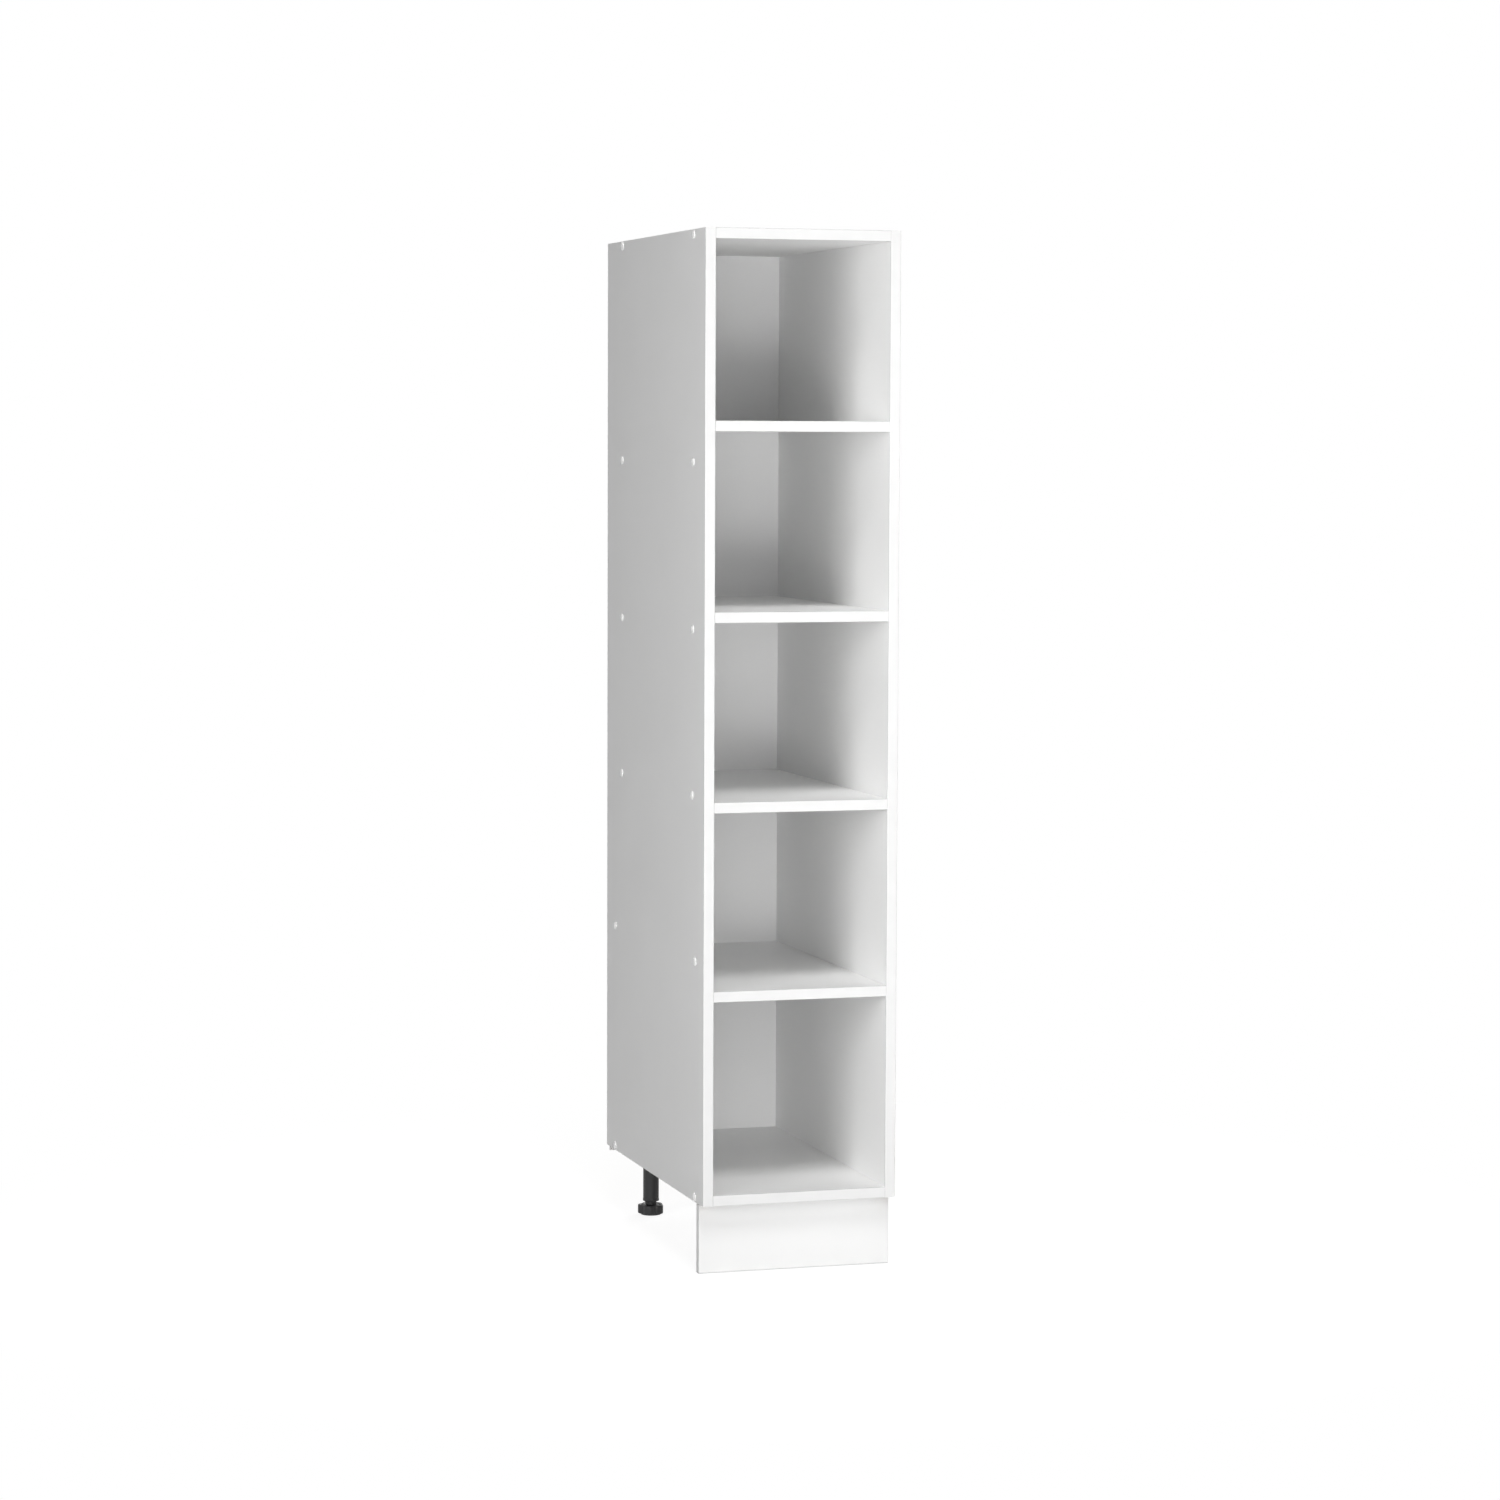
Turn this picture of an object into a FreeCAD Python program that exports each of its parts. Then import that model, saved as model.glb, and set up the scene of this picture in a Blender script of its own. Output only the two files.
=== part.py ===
import FreeCAD, Part
import math
import os
import Sketcher

# Kitchen shelf unit: a tall open cabinet on four adjustable legs, with a clip-on plinth.
# Millimetres, +Z up, the front faces -Y, and the origin is on the floor under the middle of the unit.

Vector = FreeCAD.Vector
Rotation = FreeCAD.Rotation

doc = FreeCAD.newDocument("KitchenShelfUnit")

# Driving sizes

SIZES = [
    ("unit_width", 300, "width over the two side panels"),
    ("side_height", 1440, "height of the side panels"),
    ("side_depth", 557, "depth of every board, front edge strip included"),
    ("board", 16, "thickness of sides, top, bottom and shelves"),
    ("edge_strip", 1, "thickness of the front edge strips"),
    ("edge_round", 0.8, "radius along the front edges of the strips"),
    ("bottom_clear", 288, "clear height of the lowest compartment"),
    ("leg_height", 106, "from the floor to the underside of the carcass"),
    ("back_thickness", 3, "thickness of the back panel"),
    ("back_inset", 5, "from the outer faces of the carcass to the back panel's edges"),
    ("back_drop", 10, "how far the back panel reaches below the carcass"),
    ("fit", 0.1, "radial clearance of screws, dowels and plugs in their holes"),
    ("hole_spare", 1, "spare depth at the end of a blind hole"),
    ("upper_front_row", 61, "from the front to the side holes of the upper rows"),
    ("upper_rear_row", 92, "from the rear edge to the side holes of the upper rows"),
    ("lower_front_row", 43, "from the front to the side holes of the lower rows"),
    ("lower_rear_row", 54, "from the rear edge to the side holes of the lower rows"),
    ("plug_low_margin", 361, "from the underside of the sides to the lowest row of plugs"),
    ("plug_high_margin", 341, "from the top of the sides to the highest row of plugs"),
    ("cap_diameter", 12.5, "diameter of the round caps"),
    ("cap_height", 2.4, "height of the round caps over the side's face"),
    ("cap_rim", 1.5, "height of the straight rim under a cap's dome"),
    ("plug_stem_diameter", 8, "diameter of a plug's stem"),
    ("plug_stem_length", 9, "length of a plug's stem"),
    ("screw_length", 50, "length of a carcass screw"),
    ("screw_head_diameter", 10, "diameter of a carcass screw's countersunk head"),
    ("screw_head_height", 4, "height of a carcass screw's countersunk head"),
    ("screw_shank_diameter", 7, "diameter of a carcass screw's plain shank"),
    ("screw_thread_diameter", 5.4, "diameter of a carcass screw's thread"),
    ("screw_tip", 4, "length of a carcass screw's tip"),
    ("screw_point_diameter", 1.4, "diameter of a carcass screw at its point"),
    ("socket_width", 4, "width across the flats of a carcass screw's socket"),
    ("socket_depth", 3, "depth of a carcass screw's socket"),
    ("cap_stem_diameter", 3.4, "diameter of a cover cap's stem"),
    ("cap_stem_length", 2.5, "length of a cover cap's stem"),
    ("dowel_diameter", 8, "diameter of a wooden dowel"),
    ("dowel_length", 30, "length of a wooden dowel"),
    ("dowel_in_side", 10, "length of a dowel that sits in the side panel"),
    ("dowel_margin", 190, "from the front and rear to the dowels of the top and bottom panel"),
    ("cam_margin", 70, "from the front and rear to the shelf cams"),
    ("cam_diameter", 15, "diameter of a cam lock"),
    ("cam_skin", 3, "board left over a cam lock"),
    ("cam_setback", 34, "from a shelf's end to its cam locks"),
    ("cam_bore_diameter", 8, "diameter of the bolt's way into a cam lock and a shelf's end"),
    ("cam_slot_length", 9, "length of the driver slot in a cam lock"),
    ("cam_slot_width", 1.6, "width of the driver slot in a cam lock"),
    ("cam_slot_depth", 2.2, "depth of the driver slot in a cam lock"),
    ("bolt_thread_diameter", 5, "diameter of a cam bolt's thread"),
    ("bolt_in_side", 10, "length of a cam bolt's thread"),
    ("bolt_shank_diameter", 6.4, "diameter of a cam bolt's shank"),
    ("bolt_neck_diameter", 4, "diameter of a cam bolt's neck"),
    ("bolt_neck_length", 4, "length of a cam bolt's neck"),
    ("bolt_head_length", 3, "length of a cam bolt's head"),
    ("nail_diameter", 1.8, "diameter of a back panel nail"),
    ("nail_length", 18, "length of a back panel nail under its head"),
    ("nail_head_diameter", 4.5, "diameter of a nail's head"),
    ("nail_head_height", 0.8, "height of a nail's head"),
    ("nail_margin", 40, "from the ends of the sides to the first and last nail"),
    ("leg_inset_side", 58, "from the side's outer face to the leg's axis"),
    ("leg_plinth_gap", 16, "gap between the plinth and the front legs' mounting plates"),
    ("leg_inset_rear", 57, "from the boards' rear edges to the rear legs' axes"),
    ("plate_width", 60, "width of a leg's mounting plate"),
    ("plate_thickness", 4, "thickness of a leg's mounting plate"),
    ("plate_round", 9, "corner radius of a leg's mounting plate"),
    ("plate_screw_spacing", 42, "spacing of the screws in a mounting plate"),
    ("spigot_length", 18, "length of the plate's spigot inside the column"),
    ("spigot_play", 0.1, "radial play of the spigot in the column"),
    ("column_diameter", 26, "outer diameter of a leg's column"),
    ("column_bore", 20.2, "bore of a leg's column"),
    ("column_lift", 22, "from the floor to the lower end of the column"),
    ("stem_play", 0.3, "radial play of the foot's stem in the column"),
    ("stem_length", 44, "length of the foot's stem above its knob"),
    ("root_diameter", 12, "diameter of the stem's root inside the knob"),
    ("root_length", 4.5, "length of the stem's root inside the knob"),
    ("foot_diameter", 42, "diameter over the lobes of a foot"),
    ("foot_height", 14, "height of a foot's knob"),
    ("core_diameter", 30, "diameter of the plain core inside a foot's lobes"),
    ("foot_lobes", 5, "number of lobes of a foot"),
    ("lobe_diameter", 20.4, "diameter of one lobe"),
    ("lobe_round", 2, "radius along the lobes' upper and lower edges"),
    ("lobe_turn", 44, "angle of the first lobe from the front, in degrees"),
    ("pad_diameter", 33, "diameter of the pad under a foot"),
    ("pad_thickness", 2, "thickness of the pad under a foot"),
    ("pad_round", 0.6, "radius round the pad's lower edge"),
    ("pin_diameter", 8, "diameter of the pin that holds a pad in its foot"),
    ("pin_length", 6, "length of the pin that holds a pad in its foot"),
    ("pin_play", 0.3, "play round the pin that holds a pad in its foot"),
    ("wood_screw_diameter", 3.5, "diameter of the small wood screws"),
    ("wood_screw_length", 14, "length of the small wood screws under their heads"),
    ("wood_screw_head_diameter", 7, "diameter of the small wood screws' heads"),
    ("wood_screw_head_height", 2.4, "height of the small wood screws' heads"),
    ("wood_screw_head_round", 1.4, "radius round the small wood screws' heads"),
    ("wood_screw_tip", 3.5, "length of the small wood screws' tips"),
    ("wood_screw_point_diameter", 0.9, "diameter of the small wood screws at their points"),
    ("cross_length", 4, "length of the cross recess in a small screw"),
    ("cross_width", 0.9, "width of the cross recess in a small screw"),
    ("cross_depth", 1.2, "depth of the cross recess in a small screw"),
    ("plinth_setback", 26, "from the front to the face of the plinth"),
    ("plinth_thickness", 13, "thickness of the plinth board"),
    ("plinth_round", 1, "radius along the front edges of the plinth board"),
    ("plinth_inset", 1.5, "from the sides' outer faces to the plinth's ends"),
    ("plinth_floor_gap", 1, "gap between the plinth and the floor"),
    ("plinth_top_gap", 2, "gap between the plinth and the carcass"),
    ("clip_width", 58, "width of a plinth clip's plate"),
    ("clip_plate", 4, "thickness of a plinth clip's plate"),
    ("clip_height", 22, "height of a plinth clip"),
    ("clip_wall", 4, "wall of a clip's jaw beside the column"),
    ("clip_play", 0.3, "play between a clip's jaw and the column"),
    ("clip_screw_spacing", 46, "spacing of a clip's two screws"),
    ("clip_level", 58, "height of the clips' middle over the floor"),
]

SHELF_COUNT = 4
PLUG_ROWS = 4
SIDE_NAILS = 8

size = doc.addObject("Spreadsheet::Sheet", "size")
for row, (alias, number, meaning) in enumerate(SIZES, start=1):
    size.set(f"A{row}", meaning)
    size.set(f"B{row}", str(number))
    size.setAlias(f"B{row}", alias)
doc.recompute()

# Places that several pieces share, as expressions on the sheet

LEFT = "(-size.unit_width / 2)"
INNER_LEFT = "(-size.unit_width / 2 + size.board)"
INNER_WIDTH = "(size.unit_width - 2 * size.board)"
FRONT = "(-(size.side_depth + size.back_thickness + size.nail_head_height) / 2)"
REAR = f"({FRONT} + size.side_depth)"
BASE = "size.leg_height"
TOP = "(size.leg_height + size.side_height)"
SHELF_PITCH = f"((size.side_height - 2 * size.board - size.bottom_clear) / {SHELF_COUNT})"
PLINTH_REAR = f"({FRONT} + size.plinth_setback + size.plinth_thickness)"
CAP_RISE = "(size.cap_height - size.cap_rim)"
CAP_DOME = f"(((size.cap_diameter / 2) ^ 2 + {CAP_RISE} ^ 2) / (2 * {CAP_RISE}))"

TOLERANCE = 1e-6
UPRIGHT = Rotation()
RIGHTWARDS = Rotation(Vector(0, 1, 0), 90)
LEFTWARDS = Rotation(Vector(0, 1, 0), -90)
FORWARDS = Rotation(Vector(1, 0, 0), 90)


# Tools of the model

def value(expression):
    """The number that an expression on the sheet stands for."""
    return float(size.evalExpression(expression))


def bind(item, **expressions):
    """Ties properties of an object to the sheet."""
    for name, expression in expressions.items():
        item.setExpression(name, expression)


def put(item, x, y, z, turn=UPRIGHT):
    """Turns an object and ties its place to the sheet."""
    item.Placement = FreeCAD.Placement(Vector(), turn)
    for axis, expression in zip("xyz", (x, y, z)):
        item.setExpression(f"Placement.Base.{axis}", expression)


def block(name, length, width, height, x="0", y="0", z="0"):
    """A rectangular block from its lowest corner."""
    item = doc.addObject("Part::Box", name)
    bind(item, Length=length, Width=width, Height=height)
    put(item, x, y, z)
    return item


def rod(name, diameter, height, x="0", y="0", z="0", turn=UPRIGHT):
    """A round rod from the centre of its foot."""
    item = doc.addObject("Part::Cylinder", name)
    bind(item, Radius=f"({diameter}) / 2", Height=height)
    put(item, x, y, z, turn)
    return item


def cone(name, low_diameter, high_diameter, height, z="0"):
    """A cone along +Z."""
    item = doc.addObject("Part::Cone", name)
    bind(item, Radius1=f"({low_diameter}) / 2", Radius2=f"({high_diameter}) / 2", Height=height)
    put(item, "0", "0", z)
    return item


def fused(name, pieces):
    """Several pieces grown into one."""
    item = doc.addObject("Part::MultiFuse", name)
    item.Shapes = pieces
    item.Refine = True
    return item


def less(name, base, tools):
    """A piece with each of the tools cut away in turn."""
    item = base
    for number, tool in enumerate(tools, start=1):
        step = doc.addObject("Part::Cut", name if number == len(tools) else f"{name}_step_{number}")
        step.Base = item
        step.Tool = tool
        item = step
    return item


def rounded(name, base, radius, wanted):
    """A piece with a radius along the edges that are wanted."""
    base.recompute(True)
    item = doc.addObject("Part::Fillet", name)
    item.Base = base
    edges = [number for number, edge in enumerate(base.Shape.Edges, start=1) if wanted(edge)]
    item.Edges = [(number, value(radius), value(radius)) for number in edges]
    return item


def repeat(name, piece, places, turn=UPRIGHT):
    """Copies of one piece at several places, each place three expressions on the sheet."""
    piece.recompute(True)
    copies = []
    for place in places:
        copy = piece.Shape.copy()
        spot = Vector(*[value(expression) for expression in place])
        copy.Placement = FreeCAD.Placement(spot, turn)
        copies.append(copy)
    item = doc.addObject("Part::Feature", name)
    item.Shape = Part.makeCompound(copies)
    return item


def group(name, pieces):
    """Separate solids under one name."""
    item = doc.addObject("Part::Compound", name)
    item.Links = pieces
    return item


def is_circle(edge):
    """Whether an edge is a full circle."""
    return isinstance(edge.Curve, Part.Circle) and edge.isClosed()


nodes = []


def node(item, label):
    """Names a finished piece and marks it to be written."""
    item.Label = label
    nodes.append(item)
    return item


# Sketched bodies

def new_body(name):
    """An empty body."""
    return doc.addObject("PartDesign::Body", name)


def sketch_on_base(body, name, lift="0"):
    """A sketch on the body's XY plane, lifted along +Z."""
    sketch = body.newObject("Sketcher::SketchObject", name)
    planes = [item for item in body.Origin.OriginFeatures if item.Role == "XY_Plane"]
    sketch.AttachmentSupport = [(planes[0], "")]
    sketch.MapMode = "FlatFace"
    sketch.setExpression("AttachmentOffset.Base.z", lift)
    return sketch


def hold(sketch, kind, *target, expression):
    """One dimension of a sketch, tied to the sheet."""
    number = sketch.addConstraint(Sketcher.Constraint(kind, *target, value(expression)))
    sketch.setExpression(f"Constraints[{number}]", expression)


def draw_rectangle(sketch, width, low_y, high_y):
    """A rectangle that is symmetric about the sketch's Y axis."""
    half = value(width) / 2
    low, high = value(low_y), value(high_y)
    corners = [Vector(-half, low), Vector(half, low), Vector(half, high), Vector(-half, high)]
    lines = []
    for start, end in zip(corners, corners[1:] + corners[:1]):
        lines.append(sketch.addGeometry(Part.LineSegment(start, end), False))
    for line, following in zip(lines, lines[1:] + lines[:1]):
        sketch.addConstraint(Sketcher.Constraint("Coincident", line, 2, following, 1))
    bottom, right, top, left = lines
    sketch.addConstraint(Sketcher.Constraint("Horizontal", top))
    sketch.addConstraint(Sketcher.Constraint("Vertical", right))
    sketch.addConstraint(Sketcher.Constraint("Symmetric", bottom, 1, bottom, 2, -2))
    hold(sketch, "DistanceX", bottom, 1, bottom, 2, expression=width)
    hold(sketch, "DistanceY", -1, 1, bottom, 1, expression=low_y)
    hold(sketch, "DistanceY", bottom, 1, left, 1, expression=f"{high_y} - ({low_y})")


def draw_circle(sketch, diameter):
    """A circle round the sketch's origin."""
    circle = sketch.addGeometry(Part.Circle(Vector(), Vector(0, 0, 1), value(diameter) / 2), False)
    sketch.addConstraint(Sketcher.Constraint("Coincident", circle, 3, -1, 1))
    hold(sketch, "Diameter", circle, expression=diameter)


def pad(body, sketch, length, downwards=False):
    """The sketch raised into a solid."""
    item = body.newObject("PartDesign::Pad", f"{sketch.Name}_pad")
    item.Profile = sketch
    item.setExpression("Length", length)
    item.Reversed = downwards
    doc.recompute()
    return item


def pocket(body, sketch, depth):
    """The sketch sunk upwards into the solid."""
    before = body.Shape.Volume
    item = body.newObject("PartDesign::Pocket", f"{sketch.Name}_pocket")
    item.Profile = sketch
    item.setExpression("Length", depth)
    item.Reversed = True
    doc.recompute()
    if not body.Shape.Volume < before:
        raise RuntimeError(f"{sketch.Name} cuts nothing")
    return item


# Fasteners and the ways that are drilled for them, each along +Z from its seat

def carcass_screw():
    """Countersunk screw with a plain shank through the side panel and a hexagon socket."""
    head = cone("screw_head", "size.screw_head_diameter", "size.screw_shank_diameter",
                "size.screw_head_height")
    shank = rod("screw_shank", "size.screw_shank_diameter", "size.board - size.screw_head_height",
                z="size.screw_head_height")
    thread = rod("screw_thread", "size.screw_thread_diameter",
                 "size.screw_length - size.screw_tip - size.board", z="size.board")
    tip = cone("screw_tip", "size.screw_thread_diameter", "size.screw_point_diameter",
               "size.screw_tip", "size.screw_length - size.screw_tip")
    socket = doc.addObject("Part::Prism", "screw_socket")
    socket.Polygon = 6
    bind(socket, Circumradius="size.socket_width / sqrt(3)", Height="size.socket_depth")
    return less("carcass_screw", fused("screw_blank", [head, shank, thread, tip]), [socket])


def carcass_screw_way():
    """Hole through the side panel and into the end of the panel behind it."""
    sink = cone("sink_way", "size.screw_head_diameter + 2 * size.fit",
                "size.screw_shank_diameter + 2 * size.fit", "size.screw_head_height")
    shank = rod("shank_way", "size.screw_shank_diameter + 2 * size.fit", "size.board")
    thread = rod("thread_way", "size.screw_thread_diameter + 2 * size.fit",
                 "size.screw_length + size.hole_spare")
    return fused("carcass_screw_way", [sink, shank, thread])


def round_cap(name, stem_diameter, stem_length):
    """Domed cap that stands out of the side's face on a straight rim, with its stem inside."""
    disc = rod(f"{name}_disc", "size.cap_diameter", "size.cap_height", z="-size.cap_height")
    ball = doc.addObject("Part::Sphere", f"{name}_ball")
    bind(ball, Radius=CAP_DOME)
    put(ball, "0", "0", f"{CAP_DOME} - size.cap_height")
    crown = doc.addObject("Part::MultiCommon", f"{name}_crown")
    crown.Shapes = [disc, ball]
    stem = rod(f"{name}_stem", stem_diameter, stem_length)
    return fused(name, [crown, stem])


def dowel():
    """Wooden dowel, seated on the inner face of the side panel."""
    return rod("dowel", "size.dowel_diameter", "size.dowel_length", z="-size.dowel_in_side")


def dowel_way():
    """Holes for a dowel in the side panel and in the end of the panel beside it."""
    return rod("dowel_way", "size.dowel_diameter + 2 * size.fit",
               "size.dowel_length + 2 * size.hole_spare", z="-size.dowel_in_side - size.hole_spare")


def cam_bolt():
    """Bolt from the side panel into a shelf's end, with a head for the cam to pull."""
    thread = rod("bolt_thread", "size.bolt_thread_diameter", "size.bolt_in_side", z="-size.bolt_in_side")
    shank_end = "(size.cam_setback - size.bolt_neck_length - size.bolt_head_length / 2)"
    shank = rod("bolt_shank", "size.bolt_shank_diameter", shank_end)
    neck = rod("bolt_neck", "size.bolt_neck_diameter", "size.bolt_neck_length", z=shank_end)
    head = rod("bolt_head", "size.bolt_shank_diameter", "size.bolt_head_length",
               z=f"{shank_end} + size.bolt_neck_length")
    return fused("cam_bolt", [thread, shank, neck, head])


def cam_bolt_way():
    """Hole for the bolt's thread in the side panel and for its shank in the shelf's end."""
    thread = rod("bolt_thread_way", "size.bolt_thread_diameter + 2 * size.fit",
                 "size.bolt_in_side + size.hole_spare", z="-size.bolt_in_side - size.hole_spare")
    shank = rod("bolt_shank_way", "size.cam_bore_diameter", "size.cam_setback")
    return fused("cam_bolt_way", [thread, shank])


CAM_HEIGHT = "(size.board - size.cam_skin)"


def cam_lock(turn, name):
    """Round cam in a shelf's underside, open towards its bolt, with a crossed driver slot."""
    body = rod(f"{name}_body", "size.cam_diameter - 2 * size.fit", CAM_HEIGHT)
    mouth = rod(f"{name}_mouth", "size.cam_bore_diameter", "size.cam_diameter",
                z="size.board / 2", turn=turn)
    crown = rod(f"{name}_seat", "size.cam_bore_diameter", "size.cam_bore_diameter / 2",
                z="size.board / 2", turn=turn.inverted())
    slots = cross(f"{name}_slot", "size.cam_slot_length", "size.cam_slot_width", "size.cam_slot_depth")
    return less(name, body, [fused(f"{name}_way", [mouth, crown]), slots])


def cross(name, length, width, depth):
    """Crossed recess, sunk along +Z."""
    along = block(f"{name}_along", length, width, depth, f"-{length} / 2", f"-{width} / 2")
    across = block(f"{name}_across", width, length, depth, f"-{width} / 2", f"-{length} / 2")
    return fused(name, [along, across])


def nail():
    """Flat-headed nail."""
    head = rod("nail_head", "size.nail_head_diameter", "size.nail_head_height", z="-size.nail_head_height")
    shank = rod("nail_shank", "size.nail_diameter", "size.nail_length")
    return fused("nail", [head, shank])


def nail_way():
    """Way of a nail through the back panel and into a rear edge."""
    return rod("nail_way", "size.nail_diameter + 2 * size.fit", "size.nail_length + size.hole_spare")


def wood_screw():
    """Small round-headed wood screw with a cross recess."""
    disc = rod("wood_screw_disc", "size.wood_screw_head_diameter", "size.wood_screw_head_height",
               z="-size.wood_screw_head_height")
    head = rounded("wood_screw_head", disc, "size.wood_screw_head_round",
                   lambda edge: is_circle(edge) and edge.Curve.Center.z < 0)
    plain = "(size.wood_screw_length - size.wood_screw_tip)"
    shank = rod("wood_screw_shank", "size.wood_screw_diameter", plain)
    tip = cone("wood_screw_tip", "size.wood_screw_diameter", "size.wood_screw_point_diameter",
               "size.wood_screw_tip", plain)
    recess = cross("wood_screw_recess", "size.cross_length", "size.cross_width", "size.cross_depth")
    put(recess, "0", "0", "-size.wood_screw_head_height")
    return less("wood_screw", fused("wood_screw_blank", [head, shank, tip]), [recess])


def wood_screw_way():
    """Hole for a small wood screw."""
    return rod("wood_screw_way", "size.wood_screw_diameter + 2 * size.fit",
               "size.wood_screw_length + size.hole_spare")


SCREW = carcass_screw()
SCREW_WAY = carcass_screw_way()
COVER_CAP = round_cap("cover_cap", "size.cap_stem_diameter", "size.cap_stem_length")
PLUG = round_cap("plug", "size.plug_stem_diameter", "size.plug_stem_length")
PLUG_WAY = rod("plug_way", "size.plug_stem_diameter + 2 * size.fit",
               "size.plug_stem_length + size.hole_spare")
DOWEL = dowel()
DOWEL_WAY = dowel_way()
BOLT = cam_bolt()
BOLT_WAY = cam_bolt_way()
CAM_WAY = rod("cam_way", "size.cam_diameter", CAM_HEIGHT)
NAIL = nail()
NAIL_WAY = nail_way()
WOOD_SCREW = wood_screw()
WOOD_SCREW_WAY = wood_screw_way()


# Where the fasteners sit

class Hand:
    """One of the two sides, with the direction from its outer face into the unit."""

    def __init__(self, name, sign, turn):
        self.name = name
        self.turn = turn
        self.outer = f"({sign} * size.unit_width / 2)"
        self.inner = f"({sign} * (size.unit_width / 2 - size.board))"
        self.middle = f"({sign} * (size.unit_width / 2 - size.board / 2))"
        self.cam = f"({sign} * (size.unit_width / 2 - size.board - size.cam_setback))"
        self.leg = f"({sign} * (size.unit_width / 2 - size.leg_inset_side))"


HANDS = [Hand("left", -1, RIGHTWARDS), Hand("right", 1, LEFTWARDS)]

TOP_MIDDLE = f"({TOP} - size.board / 2)"
BOTTOM_MIDDLE = f"({BASE} + size.board / 2)"
UPPER_ROW = [f"({FRONT} + size.upper_front_row)", f"({REAR} - size.upper_rear_row)"]
LOWER_ROW = [f"({FRONT} + size.lower_front_row)", f"({REAR} - size.lower_rear_row)"]
DOWEL_LINE = [f"({FRONT} + size.dowel_margin)", f"({REAR} - size.dowel_margin)"]
CAM_LINE = [f"({FRONT} + size.cam_margin)", f"({REAR} - size.cam_margin)"]
DEPTH_MIDDLE = f"(({FRONT} + {REAR}) / 2)"


def shelf_under(number):
    """Underside of a shelf, counted from the top."""
    return f"({TOP} - {number} * {SHELF_PITCH} - size.board)"


def shelf_middle(number):
    """Middle plane of a shelf, counted from the top."""
    return f"({shelf_under(number)} + size.board / 2)"


SHELVES = range(1, SHELF_COUNT + 1)


def screw_places(x, level):
    """Carcass screws at the top or the bottom panel."""
    line = UPPER_ROW if level == TOP_MIDDLE else LOWER_ROW
    return [(x, y, level) for y in line]


def plug_places(x):
    """Plugs of the joining holes, four rows of two, the lowest row with the lower spacing."""
    pitch = "(size.side_height - size.plug_low_margin - size.plug_high_margin)"
    places = []
    for row in range(PLUG_ROWS):
        level = f"({BASE} + size.plug_low_margin + {pitch} * {row} / {PLUG_ROWS - 1})"
        line = LOWER_ROW if row == 0 else UPPER_ROW
        places += [(x, y, level) for y in line]
    return places


def bolt_places(x, shelves):
    """Cam bolts at the ends of some shelves."""
    return [(x, y, shelf_middle(number)) for number in shelves for y in CAM_LINE]


def cam_places(x, shelves):
    """Cam locks in the undersides of some shelves."""
    return [(x, y, shelf_under(number)) for number in shelves for y in CAM_LINE]


def shelf_dowel_places(x, shelves):
    """One dowel in the middle of each end of some shelves."""
    return [(x, DEPTH_MIDDLE, shelf_middle(number)) for number in shelves]


def panel_dowel_places(x, level):
    """Two dowels at each end of the top or the bottom panel."""
    return [(x, y, level) for y in DOWEL_LINE]


NAIL_Y = f"({REAR} + size.back_thickness)"
BOARD_LEVELS = [BOTTOM_MIDDLE, TOP_MIDDLE] + [shelf_middle(number) for number in SHELVES]


def side_nail_places(x):
    """Nails along the rear edge of a side."""
    span = "(size.side_height - 2 * size.nail_margin)"
    return [(x, NAIL_Y, f"({BASE} + size.nail_margin + {span} * {number} / {SIDE_NAILS - 1})")
            for number in range(SIDE_NAILS)]


def board_nail_places(levels):
    """One nail in the middle of each board's rear edge."""
    return [("0", NAIL_Y, level) for level in levels]


def corner_places(spacing, x, y, z):
    """Four places at the corners of a square."""
    half = f"({spacing} / 2)"
    return [(f"{x} + {a} * {half}", f"{y} + {b} * {half}", z) for a in (-1, 1) for b in (-1, 1)]


LEG_LINE = {
    "front": f"({PLINTH_REAR} + size.leg_plinth_gap + size.plate_width / 2)",
    "rear": f"({REAR} - size.leg_inset_rear)",
}
LEGS = [(f"{end}_{hand.name}", hand.leg, y) for end, y in LEG_LINE.items() for hand in HANDS]
PLATE_UNDER = f"({BASE} - size.plate_thickness)"


def plate_screw_places():
    """Screws of all four mounting plates, driven upwards."""
    places = []
    for _, x, y in LEGS:
        places += corner_places("size.plate_screw_spacing", x, y, PLATE_UNDER)
    return places


def clip_screw_places(hands):
    """Screws of the plinth clips, driven forwards into the plinth."""
    offsets = ("- size.clip_screw_spacing / 2", "+ size.clip_screw_spacing / 2")
    y = f"({PLINTH_REAR} + size.clip_plate)"
    return [(f"({hand.leg} {offset})", y, "size.clip_level") for hand in hands for offset in offsets]


# Carcass

BLANK_DEPTH = "(size.side_depth - size.edge_strip)"
BLANK_FRONT = f"({FRONT} + size.edge_strip)"


def edge_strip(label, length, height, x, z, long_axis):
    """Front edge strip with its two long front edges eased."""
    strip = block(f"{label}_blank", length, "size.edge_strip", height, x, FRONT, z)
    front = value(FRONT)
    reach = value(length if long_axis == 0 else height)

    def is_long_front(edge):
        at_front = all(abs(point.Point.y - front) < TOLERANCE for point in edge.Vertexes)
        return at_front and abs(edge.Length - reach) < TOLERANCE

    node(rounded(label, strip, "size.edge_round", is_long_front), label)


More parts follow.
